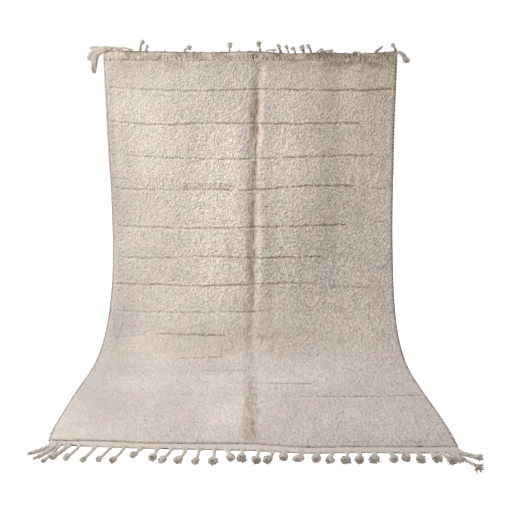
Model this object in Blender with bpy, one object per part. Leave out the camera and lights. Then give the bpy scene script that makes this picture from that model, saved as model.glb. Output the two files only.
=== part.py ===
"""Hand-knotted wool rug, hung by its top edge with its lower end laid out on the floor.

Metres, +Z up. The pile faces -Y, the floor is z = 0, and the lower end comes forward
to -Y. Places on the rug are given as "along" (down the run from the top edge),
"across" (to the right of the rug's middle) and "height" (above the underside).
"""

import math
from collections import namedtuple

import bmesh
import bpy
from mathutils import Vector

# ---------------------------------------------------------------- driving sizes
RUG_CENTRE_X = 0.012        # middle of the rug, beside the middle of the whole
HANG_FACE_Y = 0.687         # pile face of the hanging stretch
THICK = 0.016               # woven ground and pile together
GROUND = 0.004              # woven ground alone
GAP = 0.0003                # between neighbouring pieces

# the run from the wall to the floor, measured along the pile face
RUN = 2.60                  # nominal run from the top edge to the lower edge
GUIDE_RUN = 2.80            # the run with the room that the lower tassels need
GUIDE_STEP = 0.005
STRAIGHT = 0.16             # hangs plumb down to here
TOUCHDOWN = 1.985           # lies flat on the floor from here
BEND_POWER = 2.17           # how late the bend turns forward

# outline
EDGE_PITCH = 0.40           # stations of the two side edges, down the run
LEFT_EDGE = (-0.803, -0.802, -0.797, -0.796, -0.806, -0.822, -0.814, -0.800)
RIGHT_EDGE = (0.789, 0.791, 0.800, 0.806, 0.798, 0.795, 0.799, 0.797)
CORNER_RUN = 0.20           # the lower corners draw in over this length
CORNER_DRAW_LEFT = 0.027
CORNER_DRAW_RIGHT = 0.010
STATION_REACH = 0.80        # stations across run from -0.80 to +0.80
PILE_START = 0.036          # the pile begins below the upper flat-woven band
PILE_END = (2.530, 2.533, 2.552, 2.556, 2.560, 2.586, 2.583, 2.586, 2.586)
UPPER_EDGE = (-0.019, -0.011, -0.008, -0.007, -0.012, -0.001, -0.006, -0.002, -0.014)
LOWER_EDGE = (2.556, 2.573, 2.588, 2.597, 2.606, 2.626, 2.623, 2.628, 2.624)

# surface
GROOVE_HALF = 0.009         # half width of a parted line in the pile
LINE_TAPER = 0.030          # a line fades out over this length at its ends
ROW_PITCH = 0.080           # spacing of the pile's rows between the lines
SIDE_COLUMNS = 9            # columns of pile from each edge to the crease
CREASE_HALF = 0.026         # half width of the fold crease down the middle
CREASE_DEPTH = 0.007
CREASE_FLANK = 0.010
CREASE_PITCH = 0.40
CREASE_PATH = (0.042, 0.0245, 0.014, 0.012, -0.004, 0.003, 0.004, 0.003)
LUMP = 0.0012               # unevenness of the pile
LUMP_RATES = ((41.0, 13.0), (-17.0, 29.0))  # its two waves, across and down, rad per metre
RIM_DROP = 0.003            # the pile rounds over at its rim
LOCK_IN = 0.003             # locks stand this far inside the rim
LOCK_STEP = 0.006           # every other lock stands this much further in

SELVEDGE_WIDTH = 0.009      # overcast cord down each side
SELVEDGE_HEIGHT = 0.008
SELVEDGE_LUMP = 0.10        # share by which every other turn is thinner
SELVEDGE_SECTION = (        # shares of half the width and of the height
    (-0.55, 0.0), (0.55, 0.0), (1.0, 0.52), (0.5, 1.0), (-0.5, 1.0), (-1.0, 0.52),
)

BAND_THICK = 0.005          # flat-woven end bands
BAND_CROWN = 0.0065         # at the middle of a band
ROOT_HALF = 0.005           # half width of a tassel's root
SEAM_CLEAR = 0.0075         # a band's other columns keep this far from a root's middle

Line = namedtuple("Line", "levels spans")
Span = namedtuple("Span", "left right depth")
Fold = namedtuple("Fold", "across half_width lift start stop")
Wrinkle = namedtuple("Wrinkle", "along half_width lift left right")
FloorTassel = namedtuple("FloorTassel", "root knot reach")
EdgeTassel = namedtuple("EdgeTassel", "root knot rise out arch")
Ring = namedtuple("Ring", "centre side up width height")

# parted lines across the pile: where each runs at seven even stations across, and the
# stretches over which it shows, with the depth of the groove
LINES = (
    Line((0.172, 0.187, 0.194, 0.184, 0.186, 0.188, 0.184), (Span(-0.79, 0.785, 0.006),)),
    Line((0.351, 0.373, 0.365, 0.366, 0.367, 0.363, 0.362), (Span(-0.79, 0.606, 0.006),)),
    Line((0.533, 0.549, 0.560, 0.559, 0.548, 0.541, 0.532), (Span(-0.713, 0.696, 0.005),)),
    Line((0.716, 0.731, 0.728, 0.733, 0.710, 0.710, 0.733),
         (Span(-0.79, 0.585, 0.006), Span(0.64, 0.78, 0.003))),
    Line((0.929, 0.943, 0.949, 0.943, 0.935, 0.929, 0.926), (Span(-0.78, 0.551, 0.006),)),
    Line((1.105, 1.117, 1.107, 1.118, 1.111, 1.110, 1.110), (Span(-0.786, 0.404, 0.006),)),
    Line((1.259, 1.268, 1.276, 1.267, 1.258, 1.280, 1.288),
         (Span(-0.787, 0.363, 0.006), Span(0.42, 0.69, 0.003))),
    Line((1.412, 1.426, 1.430, 1.426, 1.410, 1.405, 1.405), (Span(-0.782, 0.073, 0.006),)),
    Line((1.586, 1.562, 1.572, 1.582, 1.585, 1.585, 1.585),
         (Span(-0.76, -0.57, 0.003), Span(-0.528, -0.119, 0.007))),
    Line((1.738, 1.740, 1.738, 1.720, 1.720, 1.720, 1.720), (Span(-0.391, -0.131, 0.007),)),
    Line((1.862, 1.862, 1.862, 1.861, 1.860, 1.860, 1.860), (Span(-0.271, 0.04, 0.004),)),
    Line((2.015, 2.015, 2.015, 2.013, 2.010, 2.010, 2.010), (Span(-0.071, 0.301, 0.005),)),
    Line((2.150, 2.150, 2.150, 2.150, 2.154, 2.155, 2.148), (Span(0.20, 0.79, 0.005),)),
)

# soft folds that run down the hanging stretch
FOLDS = (
    Fold(0.46, 0.12, -0.012, -0.20, 1.45),
    Fold(0.12, 0.05, -0.006, 0.80, 1.60),
    Fold(-0.205, 0.12, 0.007, 0.10, 1.00),
    Fold(0.056, 0.04, 0.004, 0.75, 1.50),
    Fold(-0.765, 0.05, -0.005, 0.12, 0.85),
    Fold(0.667, 0.09, 0.006, 1.10, 1.70),
)
FOLD_FADE = 0.16            # a fold fades in and out over this length

# short wrinkles across the bend
WRINKLES = (
    Wrinkle(1.600, 0.040, -0.006, 0.02, 0.27),
    Wrinkle(1.695, 0.040, -0.006, -0.39, -0.04),
    Wrinkle(1.585, 0.035, -0.005, -0.77, -0.57),
)
WRINKLE_FADE = 0.06

# tassels on the floor: root and knot across, and the knot's reach beyond the edge
FLOOR_TASSELS = (
    FloorTassel(-0.771, -0.836, 0.077),
    FloorTassel(-0.756, -0.799, 0.100),
    FloorTassel(-0.741, -0.768, 0.117),
    FloorTassel(-0.708, -0.736, 0.090),
    FloorTassel(-0.664, -0.686, 0.091),
    FloorTassel(-0.602, -0.622, 0.104),
    FloorTassel(-0.543, -0.563, 0.095),
    FloorTassel(-0.489, -0.511, 0.098),
    FloorTassel(-0.426, -0.443, 0.058),
    FloorTassel(-0.363, -0.368, 0.076),
    FloorTassel(-0.307, -0.331, 0.088),
    FloorTassel(-0.252, -0.270, 0.089),
    FloorTassel(-0.202, -0.207, 0.094),
    FloorTassel(-0.144, -0.143, 0.094),
    FloorTassel(-0.093, -0.081, 0.067),
    FloorTassel(-0.039, -0.040, 0.067),
    FloorTassel(0.023, 0.013, 0.076),
    FloorTassel(0.077, 0.058, 0.069),
    FloorTassel(0.121, 0.115, 0.045),
    FloorTassel(0.186, 0.164, 0.052),
    FloorTassel(0.248, 0.235, 0.053),
    FloorTassel(0.298, 0.285, 0.060),
    FloorTassel(0.357, 0.342, 0.065),
    FloorTassel(0.403, 0.391, 0.062),
    FloorTassel(0.459, 0.446, 0.059),
    FloorTassel(0.521, 0.518, 0.057),
    FloorTassel(0.576, 0.566, 0.044),
    FloorTassel(0.620, 0.618, 0.055),
    FloorTassel(0.674, 0.678, 0.050),
    FloorTassel(0.714, 0.726, 0.064),
    FloorTassel(0.745, 0.758, 0.059),
    FloorTassel(0.762, 0.808, 0.108),
    FloorTassel(0.777, 0.836, 0.047),
)

# tassels on the upper edge: root and knot across, the knot's rise above the edge, its
# height out from the underside (below zero is behind the rug), and the arch of the stem
EDGE_TASSELS = (
    EdgeTassel(-0.790, -0.866, -0.044, 0.006, 0.030),
    EdgeTassel(-0.772, -0.846, -0.105, 0.036, 0.045),
    EdgeTassel(-0.728, -0.672, -0.001, 0.022, 0.014),
    EdgeTassel(-0.662, -0.664, -0.062, -0.030, 0.050),
    EdgeTassel(-0.603, -0.591, 0.046, 0.002, 0.035),
    EdgeTassel(-0.570, -0.565, 0.025, 0.002, 0.016),
    EdgeTassel(-0.520, -0.517, -0.060, -0.031, 0.052),
    EdgeTassel(-0.470, -0.476, -0.054, -0.029, 0.048),
    EdgeTassel(-0.418, -0.414, -0.058, -0.030, 0.050),
    EdgeTassel(-0.365, -0.340, 0.022, 0.004, 0.022),
    EdgeTassel(-0.312, -0.308, -0.056, -0.031, 0.050),
    EdgeTassel(-0.262, -0.266, -0.061, -0.029, 0.052),
    EdgeTassel(-0.214, -0.210, -0.055, -0.030, 0.048),
    EdgeTassel(-0.166, -0.170, -0.059, -0.031, 0.050),
    EdgeTassel(-0.120, -0.119, 0.032, 0.002, 0.020),
    EdgeTassel(-0.070, -0.066, -0.060, -0.030, 0.050),
    EdgeTassel(-0.018, -0.020, -0.064, -0.029, 0.052),
    EdgeTassel(0.046, 0.038, 0.039, 0.002, 0.025),
    EdgeTassel(0.078, 0.114, 0.007, 0.022, 0.014),
    EdgeTassel(0.156, 0.146, 0.034, 0.002, 0.020),
    EdgeTassel(0.199, 0.187, 0.033, 0.002, 0.020),
    EdgeTassel(0.237, 0.224, 0.025, 0.002, 0.016),
    EdgeTassel(0.281, 0.274, 0.026, 0.002, 0.016),
    EdgeTassel(0.321, 0.306, 0.034, 0.002, 0.020),
    EdgeTassel(0.354, 0.376, 0.009, 0.022, 0.014),
    EdgeTassel(0.394, 0.426, 0.005, 0.023, 0.014),
    EdgeTassel(0.452, 0.456, -0.057, -0.030, 0.050),
    EdgeTassel(0.506, 0.522, -0.042, 0.034, 0.036),
    EdgeTassel(0.554, 0.582, -0.007, 0.024, 0.026),
    EdgeTassel(0.616, 0.612, -0.058, -0.030, 0.051),
    EdgeTassel(0.672, 0.696, 0.028, 0.002, 0.016),
    EdgeTassel(0.724, 0.720, -0.056, -0.030, 0.048),
    EdgeTassel(0.762, 0.752, 0.039, 0.002, 0.025),
    EdgeTassel(0.782, 0.842, -0.039, 0.006, 0.032),
)
BEHIND_LEAN = 0.012         # a tassel that falls behind leans back as it rises

# a tassel's sections: two on the stem by share of its path, then four about the knot
STEM_SHARES = (0.38, 0.80)  # of the stem's length up to the knot's neck
STEM_SIZE = (0.011, 0.010)
NECK = 0.015                # from a knot's neck to its middle
KNOT_SECTIONS = (           # past the knot's middle, width, height
    (-NECK, 0.015, 0.014),
    (0.0, 0.026, 0.021),
    (0.012, 0.023, 0.018),
    (0.024, 0.009, 0.008),
)
FLOOR_STEM = (0.15, 0.45)   # where a floor stem's curve leaves the band: share across, out
EDGE_STEM = (0.20, 0.50)    # the same on the upper edge: share across, and share out

IVORY_WOOL = ((0.60, 0.52, 0.44, 1.0), 0.95)
UNDYED_BAND = ((0.62, 0.55, 0.48, 1.0), 0.92)
BROWN_OVERCAST = ((0.30, 0.24, 0.20, 1.0), 0.92)


# ---------------------------------------------------------------- helpers
def lerp(a, b, t):
    """Straight mix of a and b."""
    return a + (b - a) * t


def ease(t):
    """Smooth step of t, held between 0 and 1."""
    t = min(max(t, 0.0), 1.0)
    return t * t * (3.0 - 2.0 * t)


def window(value, start, stop, fade):
    """1 between start and stop, fading to 0 over the given length inside each end."""
    return ease((value - start) / fade) * ease((stop - value) / fade)


def hump(value, centre, half_width):
    """Rounded hump of height 1 about a centre."""
    share = min(abs(value - centre) / half_width, 1.0)
    return 0.5 + 0.5 * math.cos(math.pi * share)


def smooth(stations, t):
    """Value at t from 0 to 1 along evenly spaced stations, on a smooth curve."""
    last = len(stations) - 1
    station = min(max(t, 0.0), 1.0) * last
    i = min(int(station), last - 1)
    f = station - i
    a, b = stations[i], stations[i + 1]
    before = stations[i - 1] if i > 0 else 2.0 * a - b
    after = stations[i + 2] if i + 2 <= last else 2.0 * b - a
    square = 2.0 * before - 5.0 * a + 4.0 * b - after
    cube = 3.0 * (a - b) + after - before
    return a + 0.5 * f * (b - before + f * (square + f * cube))


def across_share(x):
    """Share of the stations' reach at a place across the rug."""
    return (x + STATION_REACH) / (2.0 * STATION_REACH)


# ---------------------------------------------------------------- the run of the cloth
def slope(along):
    """Angle of the run against the level: straight down is -90 degrees."""
    t = (along - STRAIGHT) / (TOUCHDOWN - STRAIGHT)
    t = min(max(t, 0.0), 1.0) ** BEND_POWER
    return -0.5 * math.pi * (1.0 - ease(t))


def guide_curve():
    """Pile-face curve as (y, z) at every step down the run, level with the floor at its end."""
    y, z = 0.0, THICK
    points = [(y, z)]
    for i in range(round(GUIDE_RUN / GUIDE_STEP), 0, -1):
        angle = slope((i - 0.5) * GUIDE_STEP)
        y += math.cos(angle) * GUIDE_STEP
        z -= math.sin(angle) * GUIDE_STEP
        points.append((y, z))
    points.reverse()
    shift = HANG_FACE_Y - points[0][0]
    return [(y + shift, z) for y, z in points]


GUIDE = guide_curve()


def fold_lift(along, across):
    """How far the whole cloth stands out or in, from its folds and wrinkles."""
    lift = 0.0
    for fold in FOLDS:
        stretch = window(along, fold.start, fold.stop, FOLD_FADE)
        lift += fold.lift * hump(across, fold.across, fold.half_width) * stretch
    for wrinkle in WRINKLES:
        side = window(across, wrinkle.left, wrinkle.right, WRINKLE_FADE)
        lift += wrinkle.lift * hump(along, wrinkle.along, wrinkle.half_width) * side
    return lift


def place(along, across, height):
    """World point of a place on the rug, at a height above the underside."""
    steps = along / GUIDE_STEP
    i = min(max(int(steps), 0), len(GUIDE) - 2)
    f = steps - i
    y = lerp(GUIDE[i][0], GUIDE[i + 1][0], f)
    z = lerp(GUIDE[i][1], GUIDE[i + 1][1], f)
    angle = slope(along)
    out = height - THICK + fold_lift(along, across)
    return Vector((RUG_CENTRE_X + across, y + out * math.sin(angle), z + out * math.cos(angle)))


def side_edges(along):
    """Left and right edge of the rug, over the selvedges."""
    share = along / (EDGE_PITCH * (len(LEFT_EDGE) - 1))
    draw = max((along - RUN + CORNER_RUN) / CORNER_RUN, 0.0) ** 2
    left = smooth(LEFT_EDGE, share) + CORNER_DRAW_LEFT * draw
    right = smooth(RIGHT_EDGE, share) - CORNER_DRAW_RIGHT * draw
    return left, right


def pile_edges(along):
    """Left and right edge of the piled field, inside the selvedges."""
    left, right = side_edges(along)
    return left + SELVEDGE_WIDTH + GAP, right - SELVEDGE_WIDTH - GAP


def crease_at(along):
    """Where the middle crease runs."""
    return smooth(CREASE_PATH, along / (CREASE_PITCH * (len(CREASE_PATH) - 1)))


# ---------------------------------------------------------------- the piled field
def anchor_level(index, across):
    """Place down the run of the pile's start, of a parted line, or of the pile's end."""
    if index == 0:
        return PILE_START
    if index <= len(LINES):
        return smooth(LINES[index - 1].levels, across_share(across))
    return smooth(PILE_END, across_share(across))


def row_level(row, across):
    """Place down the run of one row of the pile."""
    anchor, share, offset = row
    level = anchor_level(anchor, across)
    if share > 0.0:
        level = lerp(level, anchor_level(anchor + 1, across), share)
    return level + offset


def plan_rows():
    """Rows of the pile as (anchor, share towards the next one, offset)."""
    last = len(LINES) + 1
    rows = [(0, 0.0, 0.0), (0, 0.0, LOCK_IN)]
    for anchor in range(last):
        if anchor > 0:
            rows += [(anchor, 0.0, -GROOVE_HALF), (anchor, 0.0, 0.0), (anchor, 0.0, GROOVE_HALF)]
        spacing = anchor_level(anchor + 1, 0.0) - anchor_level(anchor, 0.0)
        inner = max(1, round(spacing / ROW_PITCH) - 1)
        rows += [(anchor, k / (inner + 1), 0.0) for k in range(1, inner + 1)]
    rows += [(last, 0.0, -LOCK_IN), (last, 0.0, 0.0)]
    return rows


ROWS = plan_rows()


def column_places(along):
    """Places across of the columns of the pile: edge, rim lock, field, crease, and back out."""
    left, right = pile_edges(along)
    crease = crease_at(along)
    left_field = [lerp(left, crease - CREASE_HALF, k / SIDE_COLUMNS) for k in range(1, SIDE_COLUMNS + 1)]
    right_field = [lerp(crease + CREASE_HALF, right, k / SIDE_COLUMNS) for k in range(SIDE_COLUMNS)]
    middle = [crease - CREASE_FLANK, crease, crease + CREASE_FLANK]
    return [left, left + LOCK_IN] + left_field + middle + right_field + [right - LOCK_IN, right]


def groove_depth(anchor, across):
    """Depth of a parted line at a place across."""
    spans = LINES[anchor - 1].spans
    return max(span.depth * window(across, span.left, span.right, LINE_TAPER) for span in spans)


def pile_relief(row, along, across):
    """Height of the pile face above its even level: lumps, parted lines and crease."""
    anchor, share, offset = row
    relief = LUMP
    for rate_across, rate_along in LUMP_RATES:
        relief *= math.sin(rate_across * across + rate_along * along)
    if 0 < anchor <= len(LINES) and share == 0.0 and offset == 0.0:
        relief -= groove_depth(anchor, across)
    return relief - CREASE_DEPTH * hump(across, crease_at(along), CREASE_HALF)


def new_object(name, bm, material):
    """Closed, outward-facing object from a bmesh."""
    bmesh.ops.recalc_face_normals(bm, faces=bm.faces[:])
    bmesh.ops.triangulate(bm, faces=bm.faces[:])
    mesh = bpy.data.meshes.new(name)
    bm.to_mesh(mesh)
    bm.free()
    mesh.materials.append(material)
    obj = bpy.data.objects.new(name, mesh)
    bpy.context.scene.collection.objects.link(obj)
    return obj


def make_material(name, colour_and_roughness):
    """Plain cloth material."""
    colour, roughness = colour_and_roughness
    material = bpy.data.materials.new(name)
    material.use_nodes = True
    shader = next(node for node in material.node_tree.nodes if node.type == "BSDF_PRINCIPLED")
    shader.inputs["Base Color"].default_value = colour
    shader.inputs["Roughness"].default_value = roughness
    shader.inputs["Metallic"].default_value = 0.0
    return material


def pile_field(material):
    """The knotted field: pile on its woven ground, one body with locks round its rim."""
    bm = bmesh.new()
    last_row = len(ROWS) - 1
    last_column = len(column_places(0.0)) - 1
    front, back = [], []
    for r, row in enumerate(ROWS):
        places = column_places(row_level(row, 0.0))
        front_row, back_row = [], []
        for c, across in enumerate(places):
            along = row_level(row, across)
            at_edge = r in (0, last_row) or c in (0, last_column)
            at_rim = r in (1, last_row - 1) or c in (1, last_column - 1)
            inward = LOCK_STEP * ((r + c) % 2)
            height = GROUND if at_edge else THICK + pile_relief(row, along, across)
            face_along, face_across = along, across
            if at_rim and not at_edge:
                height -= RIM_DROP
                face_along += inward * ((r == 1) - (r == last_row - 1))
                face_across += inward * ((c == 1) - (c == last_column - 1))
            front_row.append(bm.verts.new(place(face_along, face_across, height)))
            back_row.append(bm.verts.new(place(along, across, 0.0)))
        front.append(front_row)
        back.append(back_row)
    for r in range(last_row):
        for c in range(last_column):
            for face in (front, back):
                bm.faces.new((face[r][c], face[r][c + 1], face[r + 1][c + 1], face[r + 1][c]))
        for c in (0, last_column):
            bm.faces.new((front[r][c], front[r + 1][c], back[r + 1][c], back[r][c]))
    for r in (0, last_row):
        for c in range(last_column):
            bm.faces.new((front[r][c], front[r][c + 1], back[r][c + 1], back[r][c]))
    return new_object("pile_field", bm, material)


# ---------------------------------------------------------------- selvedges
def selvedge(name, side, material):
    """Overcast cord down one side, drawn turn by turn beside the field."""
    bm = bmesh.new()
    rings = []
    for r, row in enumerate(ROWS):
        outer = side_edges(row_level(row, 0.0))[0 if side < 0 else 1]
        along = row_level(row, outer)
        centre = outer - side * 0.5 * SELVEDGE_WIDTH
        thin = 1.0 - SELVEDGE_LUMP * (r % 2)
        half, tall = 0.5 * SELVEDGE_WIDTH * thin, SELVEDGE_HEIGHT * thin
        ring = [place(along, centre + half * u, tall * v) for u, v in SELVEDGE_SECTION]
        rings.append([bm.verts.new(point) for point in ring])
    for lower, upper in zip(rings, rings[1:]):
        for k in range(len(SELVEDGE_SECTION)):
            n = (k + 1) % len(SELVEDGE_SECTION)
            bm.faces.new((lower[k], lower[n], upper[n], upper[k]))
    bm.faces.new(rings[0])
    bm.faces.new(rings[-1][::-1])
    return new_object(name, bm, material)


# ---------------------------------------------------------------- end bands and tassels
def pile_end_line(across):
    """Place down the run of the field's lower end, on the straight stretches of its mesh."""
    places = column_places(row_level(ROWS[-1], 0.0))
    across = min(max(across, places[0]), places[-1])
    for a, b in zip(places, places[1:]):
        if across <= b:
            level_a, level_b = row_level(ROWS[-1], a), row_level(ROWS[-1], b)
            return lerp(level_a, level_b, (across - a) / (b - a))
    return row_level(ROWS[-1], places[-1])


def stem_path(root, control, knot, share):
    """Point on a stem's curve from its root to its knot."""
    rest = 1.0 - share
    return root * rest * rest + control * 2.0 * rest * share + knot * share * share


def tassel_rings(root, control, knot, resting):
    """Four-sided sections from the first stem section to the frayed tip."""
    end_way = (knot - control).normalized()
    stem = 1.0 - NECK / (knot - root).length
    stops = [(stem_path(root, control, knot, stem * share),) + STEM_SIZE for share in STEM_SHARES]
    stops += [(knot + end_way * past, width, height) for past, width, height in KNOT_SECTIONS]
    way, side, up = Vector((0.0, 1.0, 0.0)), Vector((1.0, 0.0, 0.0)), Vector((0.0, 0.0, 1.0))
    rings = []
    before = root
    for i, (centre, width, height) in enumerate(stops):
        after = stops[i + 1][0] if i + 1 < len(stops) else centre + end_way
        new_way = (after - before).normalized()
        turn = way.rotation_difference(new_way)
        way, side, up = new_way, turn @ side, turn @ up
        if resting:
            centre = Vector((centre.x, centre.y, 0.5 * height))
        rings.append(Ring(centre, side.copy(), up.copy(), width, height))
        before = centre
    return rings


def add_tassel(bm, root_ring, rings, root_level, outward):
    """Grow one tassel from the four points of its root on the band.

    root_level is the root's place down the run, and outward is +1 on the lower band,
    where nothing reaches under the floor, and -1 on the upper one.
    """
    lower = root_ring
    for ring in rings:
        corners = []
        for u, v in ((-0.5, 0.5), (0.5, 0.5), (0.5, -0.5), (-0.5, -0.5)):
            corner = ring.centre + ring.side * (u * ring.width) + ring.up * (v * ring.height)
            height = max(corner.z, 0.0) if outward > 0 else corner.z
            corners.append(bm.verts.new(place(root_level + outward * corner.y, corner.x, height)))
        for k in range(4):
            n = (k + 1) % 4
            bm.faces.new((lower[k], lower[n], corners[n], corners[k]))
        lower = corners
    bm.faces.new(lower)


def fringe(name, edges, inner_level, outer_level, outward, roots, tassels, material):
    """A flat-woven band with its tassels.

    edges are the band's ends across, inner_level and outer_level give its two long sides
    down the run, outward is +1 where it runs on down and -1 where it runs up, roots are
    the tassels' places across and tassels gives each one's curve.
    """
    bm = bmesh.new()
    root_starts = {root - ROOT_HALF: number for number, root in enumerate(roots)}
    root_stops = [root + ROOT_HALF for root in roots]
    columns = column_places(inner_level(0.0))
    joints = [x for x in columns if min(abs(x - root) for root in roots) > SEAM_CLEAR]
    places = sorted(joints + list(root_starts) + root_stops + list(edges))
    sections = []
    for across in places:
        inner, outer = inner_level(across), outer_level(across)
        middle = 0.5 * (inner + outer)
        outline = (
            (inner, 0.0), (inner, BAND_THICK), (middle, BAND_CROWN), (outer, BAND_THICK), (outer, 0.0),
        )
        sections.append([bm.verts.new(place(along, across, height)) for along, height in outline])
    count = len(sections[0])
    outer_side = count - 2
    for across, a, b in zip(places, sections, sections[1:]):
        number = root_starts.get(across)
        for k in range(count):
            n = (k + 1) % count
            if number is None or k != outer_side:
                bm.faces.new((a[k], a[n], b[n], b[k]))
        if number is not None:
            root_ring = [a[outer_side], b[outer_side], b[outer_side + 1], a[outer_side + 1]]
            add_tassel(bm, root_ring, tassels[number], outer_level(roots[number]), outward)
    bm.faces.new(sections[0])
    bm.faces.new(sections[-1][::-1])
    return new_object(name, bm, material)


def fringe_bottom(material):
    """Lower band on the floor, its tassels lying level in front of it."""
    tassels = []
    for tassel in FLOOR_TASSELS:
        root = Vector((tassel.root, 0.0, 0.5 * BAND_THICK))
        share, out = FLOOR_STEM
        control = Vector((lerp(tassel.root, tassel.knot, share), out * tassel.reach, root.z))
        knot = Vector((tassel.knot, tassel.reach, root.z))
        tassels.append(tassel_rings(root, control, knot, True))
    roots = [tassel.root for tassel in FLOOR_TASSELS]
    edges = side_edges(RUN)
    return fringe("fringe_bottom", edges, lambda x: pile_end_line(x) + GAP,
                  lambda x: smooth(LOWER_EDGE, across_share(x)), 1, roots, tassels, material)


def fringe_top(material):
    """Upper band, its tassels standing up, lying over the front or fallen behind."""
    tassels = []
    for tassel in EDGE_TASSELS:
        root = Vector((tassel.root, 0.0, 0.5 * BAND_THICK))
        share, out = EDGE_STEM
        lean = -BEHIND_LEAN if tassel.out < 0.0 else out * (tassel.out - root.z)
        control = Vector((lerp(tassel.root, tassel.knot, share), tassel.arch, root.z + lean))
        knot = Vector((tassel.knot, tassel.rise, tassel.out))
        tassels.append(tassel_rings(root, control, knot, False))
    roots = [tassel.root for tassel in EDGE_TASSELS]
    edges = side_edges(0.0)
    return fringe("fringe_top", edges, lambda x: PILE_START - GAP,
                  lambda x: smooth(UPPER_EDGE, across_share(x)), -1, roots, tassels, material)


def main():
    """Clear the scene and build the rug."""
    for obj in list(bpy.data.objects):
        bpy.data.objects.remove(obj, do_unlink=True)
    ivory = make_material("ivory_wool", IVORY_WOOL)
    band = make_material("undyed_band", UNDYED_BAND)
    brown = make_material("brown_overcast", BROWN_OVERCAST)
    pile_field(ivory)
    selvedge("selvedge_left", -1, brown)
    selvedge("selvedge_right", 1, brown)
    fringe_top(band)
    fringe_bottom(band)


main()
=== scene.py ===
"""Looks of a hand-knotted ivory wool rug, hung by its upper edge and run out over the floor.

Places on the rug are given as along (down the run from the upper edge), across (to the
right of its middle) and height (above the underside), in metres. RugForm turns them into
places in the room, with the sizes of the rug's solids.
"""

from __future__ import annotations

import logging
import math
from collections.abc import Sequence
from dataclasses import dataclass, field
from enum import Enum
from functools import cache, cached_property
from typing import TypeVar

import bpy
import numpy as np
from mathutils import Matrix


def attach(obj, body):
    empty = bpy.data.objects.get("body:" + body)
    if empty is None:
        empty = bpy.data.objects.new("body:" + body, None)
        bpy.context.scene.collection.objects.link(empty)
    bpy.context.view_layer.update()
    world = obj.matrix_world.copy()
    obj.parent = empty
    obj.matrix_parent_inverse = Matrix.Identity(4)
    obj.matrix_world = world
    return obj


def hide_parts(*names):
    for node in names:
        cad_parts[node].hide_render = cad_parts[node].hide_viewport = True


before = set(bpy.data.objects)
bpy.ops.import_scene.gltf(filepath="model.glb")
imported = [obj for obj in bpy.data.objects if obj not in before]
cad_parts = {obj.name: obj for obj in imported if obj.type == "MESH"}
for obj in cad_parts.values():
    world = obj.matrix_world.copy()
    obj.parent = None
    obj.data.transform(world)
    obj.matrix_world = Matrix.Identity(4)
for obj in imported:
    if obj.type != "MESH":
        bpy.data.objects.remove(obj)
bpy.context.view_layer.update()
LOG = logging.getLogger("rug")
Colour = tuple[float, float, float, float]
Faces = list[tuple[int, ...]]
Row = TypeVar("Row")

WHITE: Colour = (1.0, 1.0, 1.0, 1.0)
UP = np.array((0.0, 0.0, 1.0))
# keeps a vector of no length from dividing by 0
TINY = 1e-12
# gap between the field and each band, and between the pile and its ground
SEAM = 0.0003
# a wound loop's yarn is taller than wide, and the loop is pressed down
HOOP_HEIGHT = 1.25
HOOP_PRESSED = 0.88
# numbers of the sockets of a colour mix
MIX_SHARE, MIX_A, MIX_B, MIX_COLOUR = 0, 6, 7, 2


class Slot(Enum):
    """Material slots of the record."""

    WOOL = "ivory_wool"
    BAND = "undyed_band"
    OVERCAST = "brown_overcast"


class Knot(Enum):
    """How a tassel ends."""

    BALL = "round knot with a few cut ends"
    BRUSH = "round knot bristling with dark cut ends"
    BUD = "small round knot"
    BLUNT = "loose end with no knot"
    STAR = "knot with its yarns spread"
    HAMMER = "knot lying across two strands"


# ---------------------------------------------------------------- small helpers
def linear(red: int, green: int, blue: int) -> Colour:
    """Shader colour of a display colour.

    Args:
        red: Display red, 0 to 255.
        green: Display green, 0 to 255.
        blue: Display blue, 0 to 255.

    Returns:
        The colour in linear light, with full alpha.
    """
    steps = [value / 255.0 for value in (red, green, blue)]
    parts = [s / 12.92 if s <= 0.04045 else ((s + 0.055) / 1.055) ** 2.4 for s in steps]
    return (parts[0], parts[1], parts[2], 1.0)


def ease(value: np.ndarray) -> np.ndarray:
    """Smooth step of a value, held between 0 and 1."""
    held = np.clip(value, 0.0, 1.0)
    return held * held * (3.0 - 2.0 * held)


def window(value: np.ndarray, start: float, stop: float, fade: float) -> np.ndarray:
    """1 between start and stop, fading to 0 over a length inside each end.

    Args:
        value: Places to weigh.
        start: Where the stretch starts.
        stop: Where it stops.
        fade: Length of each fade.

    Returns:
        The weights.
    """
    return ease((value - start) / fade) * ease((stop - value) / fade)


def hump(value: np.ndarray, centre: float | np.ndarray, half_width: float) -> np.ndarray:
    """Rounded hump of height 1 about a centre."""
    share = np.minimum(np.abs(value - centre) / half_width, 1.0)
    return 0.5 + 0.5 * np.cos(math.pi * share)


def bell(value: np.ndarray) -> np.ndarray:
    """Bell curve of height 1 about 0."""
    return np.exp(-(value**2))


def unit(vectors: np.ndarray) -> np.ndarray:
    """Vectors brought to length 1."""
    return vectors / (np.linalg.norm(vectors, axis=-1, keepdims=True) + TINY)


def rows(kind: type[Row], *table: tuple) -> tuple[Row, ...]:
    """A table's rows, each made into the same kind of entry."""
    return tuple(kind(*row) for row in table)


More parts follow.
